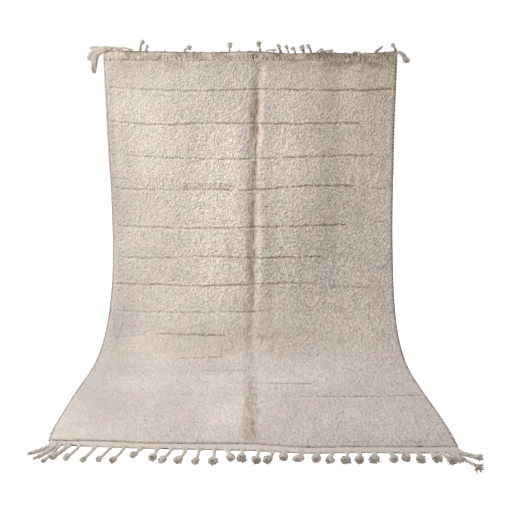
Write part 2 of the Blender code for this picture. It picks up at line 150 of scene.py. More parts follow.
def smooth(stations: Sequence[float], share: np.ndarray) -> np.ndarray:
    """Values on a smooth curve through evenly spaced stations.

    Args:
        stations: Values at even steps.
        share: Places from 0 at the first station to 1 at the last.

    Returns:
        The value at each place.
    """
    values = np.asarray(stations, dtype=float)
    last = len(values) - 1
    spread = np.clip(share, 0.0, 1.0) * last
    first = np.minimum(spread.astype(int), last - 1)
    part = spread - first
    ends = ([2.0 * values[0] - values[1]], values, [2.0 * values[-1] - values[-2]])
    padded = np.concatenate(ends)
    before, a, b, after = (padded[first + k] for k in range(4))
    square = 2.0 * before - 5.0 * a + 4.0 * b - after
    cube = 3.0 * (a - b) + after - before
    return a + 0.5 * part * (b - before + part * (square + part * cube))


# ---------------------------------------------------------------- the form of the rug
@dataclass(frozen=True)
class Fold:
    """Soft fold down the hanging stretch."""

    across: float
    half_width: float
    lift: float
    start: float
    stop: float


@dataclass(frozen=True)
class Wrinkle:
    """Short wrinkle across the bend."""

    along: float
    half_width: float
    lift: float
    left: float
    right: float


@dataclass(frozen=True)
class Span:
    """Stretch over which a parted line shows."""

    left: float
    right: float
    depth: float


@dataclass(frozen=True)
class Parting:
    """Parted line in the pile: its level at even stations across, and where it shows."""

    levels: tuple[float, ...]
    spans: tuple[Span, ...]


@dataclass(frozen=True)
class Patch:
    """Soft-edged patch of the rug, and how strong it is."""

    along: float
    across: float
    half_long: float
    half_wide: float
    power: float


PARTINGS = (
    Parting((0.172, 0.187, 0.194, 0.184, 0.186, 0.188, 0.184), (Span(-0.79, 0.785, 0.006),)),
    Parting((0.351, 0.373, 0.365, 0.366, 0.367, 0.363, 0.362), (Span(-0.79, 0.606, 0.006),)),
    Parting((0.533, 0.549, 0.560, 0.559, 0.548, 0.541, 0.532), (Span(-0.713, 0.696, 0.005),)),
    Parting(
        (0.716, 0.731, 0.728, 0.733, 0.710, 0.710, 0.733),
        (Span(-0.79, 0.585, 0.006), Span(0.64, 0.78, 0.003)),
    ),
    Parting((0.929, 0.943, 0.949, 0.943, 0.935, 0.929, 0.926), (Span(-0.78, 0.551, 0.006),)),
    Parting((1.105, 1.117, 1.107, 1.118, 1.111, 1.110, 1.110), (Span(-0.786, 0.404, 0.006),)),
    Parting(
        (1.259, 1.268, 1.276, 1.267, 1.258, 1.280, 1.288),
        (Span(-0.787, 0.363, 0.006), Span(0.42, 0.69, 0.003)),
    ),
    Parting((1.412, 1.426, 1.430, 1.426, 1.410, 1.405, 1.405), (Span(-0.782, 0.073, 0.006),)),
    Parting(
        (1.586, 1.562, 1.572, 1.582, 1.585, 1.585, 1.585),
        (Span(-0.76, -0.57, 0.003), Span(-0.528, -0.119, 0.007)),
    ),
    Parting((1.738, 1.740, 1.738, 1.720, 1.720, 1.720, 1.720), (Span(-0.391, -0.131, 0.007),)),
    Parting((1.862, 1.862, 1.862, 1.861, 1.860, 1.860, 1.860), (Span(-0.271, 0.04, 0.004),)),
    Parting((2.015, 2.015, 2.015, 2.013, 2.010, 2.010, 2.010), (Span(-0.071, 0.301, 0.005),)),
    Parting((2.150, 2.150, 2.150, 2.150, 2.154, 2.155, 2.148), (Span(0.20, 0.79, 0.005),)),
)

FOLDS = rows(
    Fold,
    (0.48, 0.12, -0.013, -0.20, 1.45),
    (0.12, 0.05, -0.006, 0.80, 1.60),
    (-0.205, 0.12, 0.007, 0.10, 1.00),
    (0.056, 0.04, 0.004, 0.75, 1.50),
    (-0.765, 0.05, -0.005, 0.12, 0.85),
    (0.667, 0.09, 0.006, 1.10, 1.70),
)

# painted light and shade: patches where the pile is drawn lighter or darker for how light falls over the
# folds, down the run and near the sides
LIGHT_AND_SHADE_PATCHES = rows(
    Patch,
    (1.15, 0.00, 0.95, 2.00, 0.26), (0.50, 0.00, 0.50, 2.00, 0.12), (0.90, -0.20, 0.75, 0.24, 0.27),
    (0.60, -0.50, 0.55, 0.26, 0.06), (0.62, 0.20, 0.62, 0.15, 0.20), (0.86, 0.45, 0.75, 0.14, -0.06),
    (0.74, 0.66, 0.66, 0.16, 0.12), (1.25, 0.28, 0.40, 0.34, 0.06), (1.22, -0.24, 0.40, 0.34, 0.06),
    (1.45, 0.60, 0.60, 0.34, 0.20), (1.25, 0.10, 0.42, 0.06, -0.03), (1.56, 0.00, 0.16, 0.85, -0.08),
    (1.85, 0.30, 0.26, 0.80, 0.12), (2.35, 0.20, 0.60, 2.40, 0.02), (2.25, -0.12, 0.34, 0.20, 0.12),
    (0.90, -0.80, 1.10, 0.20, -0.19), (0.04, -0.72, 0.25, 0.32, -0.22), (1.95, -0.76, 0.65, 0.30, -0.20),
    (0.80, 0.79, 0.80, 0.20, 0.12), (0.55, -0.70, 0.55, 0.16, -0.11), (1.40, -0.73, 0.45, 0.16, -0.17),
    (1.18, -0.58, 0.45, 0.16, -0.09), (0.28, 0.38, 0.58, 0.62, 0.12), (0.62, 0.17, 0.62, 0.12, 0.05),
    (0.62, -0.12, 0.78, 0.11, 0.18), (0.36, -0.12, 0.24, 0.11, 0.07), (0.74, -0.56, 0.16, 0.16, -0.09),
    (1.50, -0.64, 0.16, 0.24, -0.09), (2.15, 0.20, 0.48, 1.10, 0.07), (1.12, -0.135, 0.26, 0.045, -0.22),
    (1.00, 0.058, 0.50, 0.036, 0.13), (1.12, 0.135, 0.28, 0.055, -0.13), (0.50, 0.075, 0.26, 0.040, 0.10),
    (2.20, -0.14, 0.24, 0.12, -0.08), (0.45, -0.21, 0.30, 0.06, 0.06), (0.50, 0.03, 0.60, 0.08, 0.06),
    (0.46, 0.17, 0.26, 0.12, 0.06), (1.62, 0.10, 0.12, 1.60, -0.03), (1.98, 0.00, 0.16, 1.60, 0.07),
    (2.28, -0.53, 0.34, 0.28, -0.12), (2.38, -0.10, 0.25, 0.16, 0.12),
)

# where the wool is yellower than its mean, or greyer
WARMTHS = rows(
    Patch,
    (0.05, 0.95, 0.65, 1.35, 1.25), (0.20, -0.80, 0.35, 0.18, 0.30), (0.66, 0.70, 0.62, 0.85, 0.60),
    (0.62, -0.45, 0.80, 0.75, -0.20), (1.50, -0.80, 0.24, 0.40, -0.35), (1.62, 0.00, 0.16, 0.40, 0.40),
    (1.93, -0.40, 0.30, 1.60, -0.80), (2.35, -0.10, 0.40, 1.60, -0.15),
)

# brown painted shade: patches under the stray ends at the upper band and on the wrinkles of the bend
BROWN_SHADE_PATCHES = rows(
    Patch,
    (0.055, -0.41, 0.055, 0.085, 0.34),
    (1.585, 0.07, 0.035, 0.11, 0.30),
    (1.675, -0.14, 0.040, 0.07, 0.22),
    (1.700, -0.66, 0.050, 0.09, 0.16),
)

WRINKLES = rows(
    Wrinkle,
    (1.600, 0.040, -0.006, 0.02, 0.27),
    (1.695, 0.040, -0.006, -0.39, -0.04),
    (1.585, 0.035, -0.005, -0.77, -0.57),
)


@dataclass(frozen=True)
class RugForm:
    """The run of the cloth from its upper edge to the floor, and its outline."""

    centre_x: float = 0.012
    hang_face_y: float = 0.687
    thick: float = 0.016
    ground: float = 0.004
    run: float = 2.60
    guide_run: float = 2.80
    guide_step: float = 0.005
    straight: float = 0.16
    touchdown: float = 1.985
    bend_power: float = 2.17
    fold_fade: float = 0.16
    wrinkle_fade: float = 0.06
    edge_pitch: float = 0.40
    left_edge: tuple[float, ...] = (
        -0.803, -0.802, -0.797, -0.796, -0.806, -0.822, -0.814, -0.800,
    )
    right_edge: tuple[float, ...] = (0.789, 0.791, 0.800, 0.806, 0.798, 0.795, 0.799, 0.797)
    corner_run: float = 0.20
    corner_draw: tuple[float, float] = (0.027, 0.010)
    station_reach: float = 0.80
    pile_start: float = 0.036
    pile_end: tuple[float, ...] = (
        2.530, 2.533, 2.552, 2.556, 2.560, 2.586, 2.583, 2.586, 2.586,
    )
    upper_edge: tuple[float, ...] = (
        -0.019, -0.011, -0.008, -0.007, -0.012, -0.001, -0.006, -0.002, -0.014,
    )
    lower_edge: tuple[float, ...] = (
        2.556, 2.573, 2.588, 2.597, 2.606, 2.626, 2.623, 2.628, 2.624,
    )
    selvedge: float = 0.0093
    crease_pitch: float = 0.40
    crease_path: tuple[float, ...] = (
        0.042, 0.0245, 0.014, 0.012, -0.004, 0.003, 0.004, 0.003,
    )

    def slope(self, along: np.ndarray) -> np.ndarray:
        """Angle of the run against the level: straight down is a quarter turn below it."""
        share = np.clip((along - self.straight) / (self.touchdown - self.straight), 0.0, 1.0)
        return -0.5 * math.pi * (1.0 - ease(share**self.bend_power))

    @cached_property
    def guide(self) -> tuple[np.ndarray, np.ndarray, np.ndarray]:
        """Places along, and the pile face's y and z there."""
        count = round(self.guide_run / self.guide_step)
        angle = self.slope((np.arange(count) + 0.5) * self.guide_step)
        across_room = np.cumsum(np.cos(angle)[::-1])[::-1] * self.guide_step
        upward = -np.cumsum(np.sin(angle)[::-1])[::-1] * self.guide_step
        y = np.append(across_room, 0.0)
        z = np.append(upward, 0.0) + self.thick
        return np.arange(count + 1) * self.guide_step, y + self.hang_face_y - y[0], z

    def lift(self, along: np.ndarray, across: np.ndarray) -> np.ndarray:
        """How far folds and wrinkles carry the whole cloth out."""
        total = np.zeros(np.broadcast(along, across).shape)
        for fold in FOLDS:
            stretch = window(along, fold.start, fold.stop, self.fold_fade)
            total += fold.lift * hump(across, fold.across, fold.half_width) * stretch
        for wrinkle in WRINKLES:
            side = window(across, wrinkle.left, wrinkle.right, self.wrinkle_fade)
            total += wrinkle.lift * hump(along, wrinkle.along, wrinkle.half_width) * side
        return total

    def at(self, along: np.ndarray, across: np.ndarray, height: np.ndarray) -> np.ndarray:
        """Places in the room.

        Args:
            along: Places down the run.
            across: Places to the right of the middle.
            height: Heights above the underside.

        Returns:
            An array with x, y and z last.
        """
        stations, face_y, face_z = self.guide
        angle = self.slope(along)
        out = height - self.thick + self.lift(along, across)
        y = np.interp(along, stations, face_y) + out * np.sin(angle)
        z = np.interp(along, stations, face_z) + out * np.cos(angle) - np.minimum(along, 0.0)
        return np.stack(np.broadcast_arrays(self.centre_x + across, y, z), axis=-1)

    def across_share(self, across: np.ndarray) -> np.ndarray:
        """Share of the stations' reach at a place across."""
        return (across + self.station_reach) / (2.0 * self.station_reach)

    def side_edges(self, along: np.ndarray) -> tuple[np.ndarray, np.ndarray]:
        """Left and right edge over the selvedges."""
        share = along / (self.edge_pitch * (len(self.left_edge) - 1))
        draw = np.maximum((along - self.run + self.corner_run) / self.corner_run, 0.0) ** 2
        left = smooth(self.left_edge, share) + self.corner_draw[0] * draw
        return left, smooth(self.right_edge, share) - self.corner_draw[1] * draw

    def pile_end_at(self, across: np.ndarray) -> np.ndarray:
        """Where the pile ends down the run."""
        return smooth(self.pile_end, self.across_share(across))

    def upper_edge_at(self, across: np.ndarray) -> np.ndarray:
        """Upper edge of the upper band."""
        return smooth(self.upper_edge, self.across_share(across))

    def lower_edge_at(self, across: np.ndarray) -> np.ndarray:
        """Lower edge of the lower band."""
        return smooth(self.lower_edge, self.across_share(across))

    def crease_at(self, along: np.ndarray) -> np.ndarray:
        """Where the middle crease runs."""
        return smooth(self.crease_path, along / (self.crease_pitch * (len(self.crease_path) - 1)))

    def ends_at(self, along: float) -> tuple[float, float]:
        """Left and right edge at one place down the run."""
        left, right = self.side_edges(np.array(along))
        return float(left), float(right)

    def field_grid(
        self, down: np.ndarray, over: np.ndarray, rounds: int
    ) -> tuple[np.ndarray, np.ndarray]:
        """Places in the field between the selvedges and the bands.

        Args:
            down: Shares of the field's length.
            over: Shares of its width.
            rounds: How often its width and its length are fitted to each other.

        Returns:
            Places along and across, in rows down the run.
        """
        along = self.pile_start + down[:, None] * (self.run - self.pile_start) + 0.0 * over
        across = along
        for _ in range(rounds):
            left, right = self.side_edges(along)
            across = left + self.selvedge + over * (right - left - 2.0 * self.selvedge)
            along = self.pile_start + down[:, None] * (self.pile_end_at(across) - self.pile_start)
        return along, across


# ---------------------------------------------------------------- unevenness
@dataclass(frozen=True)
class Grain:
    """Even random field over the rug, the same on every run: its swells' size and power."""

    seed: int
    wide: float
    long: float = 1.0
    power: float = 1.0
    size: int = 256

    @cached_property
    def table(self) -> np.ndarray:
        """Random values from -1 to 1."""
        return np.random.default_rng(self.seed).uniform(-1.0, 1.0, (self.size, self.size))

    def at(self, across: np.ndarray, along: np.ndarray) -> np.ndarray:
        """Smooth random values.

        Args:
            across: Places across.
            along: Places along.

        Returns:
            Values from minus its power to its power.
        """
        u, v = across / self.wide, along / self.long
        i, j = np.floor(u).astype(int), np.floor(v).astype(int)
        s, t = ease(u - i), ease(v - j)
        i, j = i % self.size, j % self.size
        k, m = (i + 1) % self.size, (j + 1) % self.size
        near = self.table[i, j] * (1.0 - s) + self.table[k, j] * s
        far = self.table[i, m] * (1.0 - s) + self.table[k, m] * s
        return self.power * (near * (1.0 - t) + far * t)


@dataclass(frozen=True)
class Mottle:
    """Grains laid over a mean."""

    mean: float
    grains: tuple[Grain, ...]

    def at(self, across: np.ndarray, along: np.ndarray) -> np.ndarray:
        """The mean and all grains at places on the rug."""
        total = np.full(np.broadcast(across, along).shape, self.mean)
        for grain in self.grains:
            total += grain.at(across, along)
        return total


@dataclass(frozen=True)
class TuftCells:
    """Irregular cells of yarn ends in staggered rows."""

    wide: float = 0.0074
    long: float = 0.0108
    jitter: float = 0.42
    seed: int = 5
    size: int = 512
    far: float = 9.0

    def at(self, across: np.ndarray, along: np.ndarray) -> tuple[np.ndarray, ...]:
        """The tuft that each place belongs to.

        Args:
            across: Places across.
            along: Places along.

        Returns:
            Distance to the tuft's middle, room to the next tuft, and three random values
            of the tuft from -1 to 1.
        """
        rng = np.random.default_rng(self.seed)
        tables = rng.uniform(-1.0, 1.0, (5, self.size, self.size))
        row = np.floor(along / self.long).astype(int)
        shape = np.broadcast(across, along).shape
        first, second = np.full(shape, self.far), np.full(shape, self.far)
        traits = [np.zeros(shape) for _ in range(3)]
        for down in (-1, 0, 1):
            j = row + down
            stagger = 0.5 * (j % 2)
            column = np.floor(across / self.wide - stagger).astype(int)
            for side in (-1, 0, 1):
                i = column + side
                a, b = i % self.size, j % self.size
                middle_u = i + 0.5 + stagger + self.jitter * tables[0][a, b]
                middle_v = j + 0.5 + self.jitter * tables[1][a, b]
                gap = np.hypot(across / self.wide - middle_u, along / self.long - middle_v)
                nearer = gap < first
                second = np.where(nearer, first, np.minimum(second, gap))
                first = np.where(nearer, gap, first)
                for k, trait in enumerate(traits):
                    trait[nearer] = tables[2 + k][a, b][nearer]
        return (first, second - first, *traits)


def patched(table: Sequence[Patch], along: np.ndarray, across: np.ndarray) -> np.ndarray:
    """Sum of a table's patches at places on the rug."""
    total = np.zeros(np.broadcast(along, across).shape)
    for patch in table:
        down = hump(along, patch.along, patch.half_long)
        total += patch.power * down * hump(across, patch.across, patch.half_wide)
    return total


# ---------------------------------------------------------------- meshes
@dataclass
class Weft:
    """Gathers points and faces of one piece, with one value a point for each layer."""

    points: list[np.ndarray] = field(default_factory=list)
    faces: Faces = field(default_factory=list)
    tones: list[np.ndarray] = field(default_factory=list)
    soil_and_shade_values: list[np.ndarray] = field(default_factory=list)
    count: int = 0

    def add(self, form: tuple[np.ndarray, Faces], tone: float, soil_and_shade: float | np.ndarray) -> None:
        """Add one closed form.

        Args:
            form: Its points, as along, across and height, and its faces.
            tone: Lighter above 0, darker below.
            soil_and_shade: How dark its yarn is, 0 to 1, for all or for each point, with painted shade on
                some forms.
        """
        points, faces = form
        self.points.append(points)
        self.faces += [tuple(self.count + i for i in face) for face in faces]
        self.tones.append(np.full(len(points), tone))
        self.soil_and_shade_values.append(np.broadcast_to(soil_and_shade, (len(points),)))
        self.count += len(points)

    def piece(self, name: str, form: RugForm, material: bpy.types.Material) -> bpy.types.Object:
        """The gathered forms as one smooth object in the room."""
        along, across, height = np.concatenate(self.points).T
        layers = {"tone": np.concatenate(self.tones), "soil_and_shade": np.concatenate(self.soil_and_shade_values)}
        return make_piece(name, form.at(along, across, height), self.faces, layers, material)


def make_piece(
    name: str,
    places: np.ndarray,
    faces: Sequence[Sequence[int]],
    layers: dict[str, np.ndarray],
    material: bpy.types.Material,
) -> bpy.types.Object:
    """A smooth object from points and faces.

    Args:
        name: The piece's name.
        places: Points in the room.
        faces: Point numbers of each face, turned outwards.
        layers: Values to keep at each point, by name.
        material: Its finish.

    Returns:
        The new object, riding on the rug's body.
    """
    mesh = bpy.data.meshes.new(name)
    mesh.from_pydata(places.reshape(-1, 3).tolist(), [], faces)
    for layer, values in layers.items():
        kept = mesh.attributes.new(layer, "FLOAT", "POINT")
        kept.data.foreach_set("value", np.ascontiguousarray(values, dtype=np.float32).ravel())
    mesh.polygons.foreach_set("use_smooth", np.ones(len(mesh.polygons), dtype=bool))
    mesh.materials.append(material)
    mesh.update()
    obj = bpy.data.objects.new(name, mesh)
    bpy.context.scene.collection.objects.link(obj)
    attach(obj, "root")
    LOG.info("%s: %d faces", name, len(mesh.polygons))
    return obj


def sheet_quads(index: np.ndarray) -> np.ndarray:
    """Point numbers of the faces of a grid, each face from its corner of least row and column."""
    corners = (index[:-1, :-1], index[1:, :-1], index[1:, 1:], index[:-1, 1:])
    return np.stack(corners, axis=-1).reshape(-1, 4)


def as_faces(quads: np.ndarray) -> Faces:
    """Rows of point numbers as faces."""
    return [tuple(quad) for quad in quads.tolist()]


@cache
def tube_faces(rings: int, sides: int, turned: bool = False, loop: bool = False) -> Faces:
    """Faces of a tube whose points are counted ring by ring.

    Args:
        rings: How many rings it has.
        sides: Points of each ring.
        turned: Whether the rings go round the other way.
        loop: Whether the last ring meets the first, in place of two flat ends.

    Returns:
        The faces, turned outwards.
    """
    index = np.arange(rings * sides).reshape(rings, sides)
    near, far = (index, np.roll(index, -1, axis=0)) if loop else (index[:-1], index[1:])
    near_next, far_next = np.roll(near, -1, axis=1), np.roll(far, -1, axis=1)
    corners = (near, far, far_next, near_next) if turned else (near, near_next, far_next, far)
    faces = as_faces(np.stack(corners, axis=-1).reshape(-1, 4))
    if not loop:
        ends = (index[0], index[-1, ::-1]) if turned else (index[0, ::-1], index[-1])
        faces += [tuple(end.tolist()) for end in ends]
    return faces


def side_of(way: np.ndarray) -> np.ndarray:
    """A unit vector square to a unit vector."""
    upright = abs(way[2]) >= 0.8
    return unit(np.cross((0.0, 1.0, 0.0) if upright else (0.0, 0.0, 1.0), way))


def strand(path: np.ndarray, radius: np.ndarray, sides: int) -> tuple[np.ndarray, Faces]:
    """Closed yarn along a path.

    Args:
        path: Points along the yarn.
        radius: Its radius at each point.
        sides: Sides of its section.

    Returns:
        Its points and its faces.
    """
    ways = unit(np.gradient(path, axis=0))
    side = side_of(ways[0])
    turns = (np.arange(sides) * (2.0 * math.pi / sides))[:, None]
    rings = []
    for point, way, size in zip(path, ways, radius):
        side = unit(side - way * side.dot(way))
        rings.append(point + size * (np.cos(turns) * side + np.sin(turns) * np.cross(way, side)))
    return np.concatenate(rings), tube_faces(len(path), sides)


def hoop(
    centre: np.ndarray, axis: np.ndarray, major: float, minor: float, turns: int = 14, sides: int = 7
) -> tuple[np.ndarray, Faces]:
    """Closed loop of yarn round an axis, a little pressed down.

    Args:
        centre: Middle of the loop.
        axis: The way that it goes round.
        major: Radius of the loop.
        minor: Radius of the yarn.
        turns: Rings along the loop.
        sides: Sides of the yarn.

    Returns:
        Its points and its faces.
    """
    axis = unit(axis)
    side = side_of(axis)
    turn = (np.arange(turns) * (2.0 * math.pi / turns))[:, None, None]
    around = (np.arange(sides) * (2.0 * math.pi / sides))[None, :, None]
    out = np.cos(turn) * side + np.sin(turn) * np.cross(axis, side)
    rise = HOOP_HEIGHT * minor * np.sin(around)
    ring = (centre + out * (major + minor * np.cos(around)) + axis * rise).reshape(-1, 3)
    ring[:, 2] = centre[2] + (ring[:, 2] - centre[2]) * HOOP_PRESSED
    return ring, tube_faces(turns, sides, turned=True, loop=True)


# ---------------------------------------------------------------- finishes
@dataclass(frozen=True)
class Graph:
    """Adds and joins nodes in one tree."""

    tree: bpy.types.NodeTree

    def add(self, kind: str, inputs: dict | None = None, **settings: object) -> bpy.types.Node:
        """A new node.

        Args:
            kind: Blender's name of the node.
            inputs: Values or sockets for its inputs, by name or number.
            **settings: Values for its own properties.

        Returns:
            The node.
        """
        node = self.tree.nodes.new(kind)
        for name, value in settings.items():
            setattr(node, name, value)
        for name, value in (inputs or {}).items():
            if isinstance(value, bpy.types.NodeSocket):
                self.tree.links.new(value, node.inputs[name])
            else:
                node.inputs[name].default_value = value
        return node

    def mix(self, share: object, a: object, b: object, way: str = "MIX") -> bpy.types.NodeSocket:
        """Colour between two colours."""
        inputs = {MIX_SHARE: share, MIX_A: a, MIX_B: b}
        return self.add("ShaderNodeMix", inputs, data_type="RGBA", blend_type=way).outputs[MIX_COLOUR]

    def calc(self, way: str, a: object, b: object = 0.0) -> bpy.types.NodeSocket:
        """Result of a named operation on one or two values."""
        return self.add("ShaderNodeMath", {0: a, 1: b}, operation=way).outputs[0]

    def grey(self, level: object) -> bpy.types.NodeSocket:
        """Grey of a level."""
        return self.add("ShaderNodeCombineColor", {0: level, 1: level, 2: level}).outputs[0]

    def noise(self, place: object, scale: object, detail: float) -> bpy.types.NodeSocket:
        """Noise value about 0.5."""
        inputs = {"Vector": place, "Scale": scale, "Detail": detail}
        return self.add("ShaderNodeTexNoise", inputs).outputs[0]

    def spread(
        self, value: object, low: float, high: float, to: tuple[float, float]
    ) -> bpy.types.NodeSocket:
        """Value carried from one range to another."""
        inputs = {0: value, 1: low, 2: high, 3: to[0], 4: to[1]}
        return self.add("ShaderNodeMapRange", inputs).outputs[0]

    def layer(self, name: str) -> bpy.types.NodeSocket:
        """Value kept at the mesh's points."""
        return self.add("ShaderNodeAttribute", attribute_name=name).outputs["Fac"]


def shader_of(material: bpy.types.Material) -> bpy.types.Node:
    """The surface shader of a new material."""
    material.use_nodes = True
    return next(node for node in material.node_tree.nodes if node.type == "BSDF_PRINCIPLED")


class Groups:
    """Node groups that several finishes share."""

    @cached_property
    def fibre(self) -> bpy.types.NodeTree:
        """Spun wool: broad tints, streaks and fine fibres."""
        tree = bpy.data.node_groups.new("wool_fibre", "ShaderNodeTree")
        face = tree.interface
        face.new_socket("Place", in_out="INPUT", socket_type="NodeSocketVector")
        for name in ("Patch Scale", "Fleck Scale", "Fibre Scale"):
            face.new_socket(name, in_out="INPUT", socket_type="NodeSocketFloat")
        for name in ("Warm", "Pale", "Cool"):
            face.new_socket(name, in_out="INPUT", socket_type="NodeSocketColor")
        face.new_socket("Colour", in_out="OUTPUT", socket_type="NodeSocketColor")
        face.new_socket("Height", in_out="OUTPUT", socket_type="NodeSocketFloat")
        graph = Graph(tree)
        given = tree.nodes.new("NodeGroupInput").outputs
        result = tree.nodes.new("NodeGroupOutput").inputs
        patch, fleck, fibre = (
            graph.noise(given["Place"], given[name], detail)
            for name, detail in (("Patch Scale", 2.0), ("Fleck Scale", 2.0), ("Fibre Scale", 3.0))
        )
        warm = graph.spread(patch, 0.52, 0.70, (0.0, 1.0))
        cool = graph.spread(patch, 0.48, 0.30, (0.0, 1.0))
        tint = graph.mix(cool, graph.mix(warm, given["Pale"], given["Warm"]), given["Cool"])
        flecks = graph.spread(fleck, 0.30, 0.70, (0.90, 1.07))
        fibres = graph.spread(fibre, 0.25, 0.75, (0.88, 1.10))
        level = graph.grey(graph.calc("MULTIPLY", flecks, fibres))
        tree.links.new(graph.mix(1.0, tint, level, "MULTIPLY"), result["Colour"])
        tree.links.new(fibre, result["Height"])
        return tree


GROUPS = Groups()


@dataclass(frozen=True)
class WoolFinish:
    """Undyed wool, with its tints, soiling and yarn grain."""

    name: str
    warm: Colour
    pale: Colour
    cool: Colour
    soil_and_shade_colour: Colour
    # colour of the painted shade in the pile's parted lines and along the pile's end
    shade: Colour | None = None
    warmest: Colour = (1.0, 0.966, 0.845, 1.0)
    coolest: Colour = (1.0, 1.030, 1.085, 1.0)
    patch_scale: float = 7.0
    fleck_scale: float = 60.0
    fibre_scale: float = 420.0
    roughness: float = 0.95
    specular: float = 0.15
    sheen: float = 0.25
    sheen_roughness: float = 0.6
    bump: float = 0.5
    bump_reach: float = 0.0015
    tone_reach: float = 0.12
    knap_scale: float = 225.0
    knap_stretch: tuple[float, float, float] = (1.0, 0.72, 0.72)
    knap_rise: float = 0.0
    weave_pitch: float = 0.0
    weave_rise: float = 0.6

    def make(self) -> bpy.types.Material:
        """The material."""
        material = bpy.data.materials.new(self.name)
        shader = shader_of(material)
        graph = Graph(material.node_tree)
        place = graph.add("ShaderNodeTexCoord").outputs["Object"]
        inputs = {
            "Place": place,
            "Patch Scale": self.patch_scale,
            "Fleck Scale": self.fleck_scale,
            "Fibre Scale": self.fibre_scale,
            "Warm": self.warm,
            "Pale": self.pale,
            "Cool": self.cool,
        }
        wool = graph.add("ShaderNodeGroup", inputs, node_tree=GROUPS.fibre)
        height = wool.outputs["Height"]
        if self.weave_pitch > 0.0:
            height = self.weave_height(graph, place, height)
        inputs = {"Strength": self.bump, "Distance": self.bump_reach, "Height": height}
        bump = graph.add("ShaderNodeBump", inputs)
        if self.knap_rise > 0.0:
            bump = self.knap(graph, place, bump)
        graph.tree.links.new(self.colour(graph, wool.outputs["Colour"]), shader.inputs["Base Color"])
        graph.tree.links.new(bump.outputs[0], shader.inputs["Normal"])
        for socket, value in (
            ("Roughness", self.roughness),
            ("Specular IOR Level", self.specular),
            ("Sheen Weight", self.sheen),
            ("Sheen Roughness", self.sheen_roughness),
            ("Sheen Tint", self.pale),
        ):
            shader.inputs[socket].default_value = value
        return material

    def colour(self, graph: Graph, wool: bpy.types.NodeSocket) -> bpy.types.NodeSocket:
        """The wool's colour under its tone and warmth, its soil with painted shade, and the painted shade
        of the parted lines; on the pile the tone carries painted light and shade too.

        Args:
            graph: Where the nodes go.
            wool: Colour of the clean wool.

        Returns:
            The colour's socket.
        """
        tones = (1.0 - self.tone_reach, 1.0 + self.tone_reach)
        tone = graph.grey(graph.spread(graph.layer("tone"), -1.0, 1.0, tones))
        colour = graph.mix(1.0, wool, tone, "MULTIPLY")
        warmth = graph.spread(graph.layer("warmth"), -1.0, 1.0, (0.0, 1.0))
        colour = graph.mix(1.0, colour, graph.mix(warmth, self.coolest, self.warmest), "MULTIPLY")
        colour = graph.mix(graph.layer("soil_and_shade"), colour, self.soil_and_shade_colour)
        if self.shade is None:
            return colour
        return graph.mix(graph.layer("parting"), colour, self.shade)

    def knap(self, graph: Graph, place: object, under: bpy.types.Node) -> bpy.types.Node:
        """Bump of single yarn ends, as high as the pile's own relief."""
        stretched = graph.add("ShaderNodeMapping", {"Vector": place, "Scale": self.knap_stretch})
        ends = graph.noise(stretched.outputs[0], self.knap_scale, 1.0)
        height = graph.calc("MULTIPLY", ends, graph.layer("relief"))
        inputs = {"Strength": 1.0, "Distance": self.knap_rise, "Height": height}
        return graph.add("ShaderNodeBump", {**inputs, "Normal": under.outputs[0]})

    def weave_height(self, graph: Graph, place: object, height: object) -> bpy.types.NodeSocket:
        """Height of a plain weave under the yarn's own grain."""
        parts = graph.add("ShaderNodeSeparateXYZ", {0: place}).outputs
        rate = 2.0 * math.pi / self.weave_pitch
        warps, wefts = (
            graph.calc("SINE", graph.calc("MULTIPLY", run, rate))
            for run in (parts[0], graph.calc("ADD", parts[1], parts[2]))
        )
        weave = graph.calc("MULTIPLY", graph.calc("MULTIPLY", warps, wefts), self.weave_rise)
        return graph.calc("ADD", height, weave)


# ---------------------------------------------------------------- the pile
@dataclass(frozen=True)
class LineMarks:
    """What the parted lines do to the pile, point by point."""

    depth: np.ndarray
    shade: np.ndarray
    lip: np.ndarray
    brow: np.ndarray


@dataclass(frozen=True)
class CreaseMarks:
    """What the middle crease does to the pile, point by point."""

    valley: np.ndarray
    flank: np.ndarray
    crest: np.ndarray


@dataclass(frozen=True)
class PileGrain:
    """Random fields of the pile's lines, tufts, crease and soil."""

    wander: Mottle = Mottle(0.0, (Grain(11, 0.0070, 9.0, 0.0022), Grain(12, 0.045, 9.0, 0.0026)))
    broken: Mottle = Mottle(0.66, (Grain(13, 0.0075, 0.08, 0.60), Grain(14, 0.070, 0.08, 0.30)))
    bend_across: Mottle = Mottle(0.0, (Grain(1, 0.030, 0.022, 0.0065), Grain(2, 0.011, 0.013, 0.0028)))
    bend_along: Grain = Grain(3, 0.020, 0.026, 0.0050)
    ridges: Grain = Grain(8, 0.0054, 0.0084)
    fine: Grain = Grain(9, 0.0040, 0.0056)
    clumps: Mottle = Mottle(0.0, (Grain(6, 0.034, 0.044), Grain(7, 0.09, 0.12, 0.6)))
    crease_sway: Grain = Grain(21, 1.0, 0.05, 0.004)
    crease_reach: Mottle = Mottle(1.0, (Grain(37, 1.0, 0.05, 0.22),))
    worn_rows: Grain = Grain(30, 0.03, 9.0, 1.4)
    worn: Mottle = Mottle(0.55, (Grain(31, 0.0075, 9.0, 0.6),))
    blotch: Mottle = Mottle(0.55, (Grain(32, 0.055, 0.022, 0.55), Grain(34, 0.016, 0.012, 0.30)))
    speck: Mottle = Mottle(0.70, (Grain(33, 0.0060, 0.020, 0.60), Grain(35, 0.012, 0.10, 0.25)))
    broad: Mottle = Mottle(1.0, (Grain(36, 0.16, 0.20),))
    end_line: Mottle = Mottle(0.50, (Grain(41, 0.014, 9.0, 0.75),))


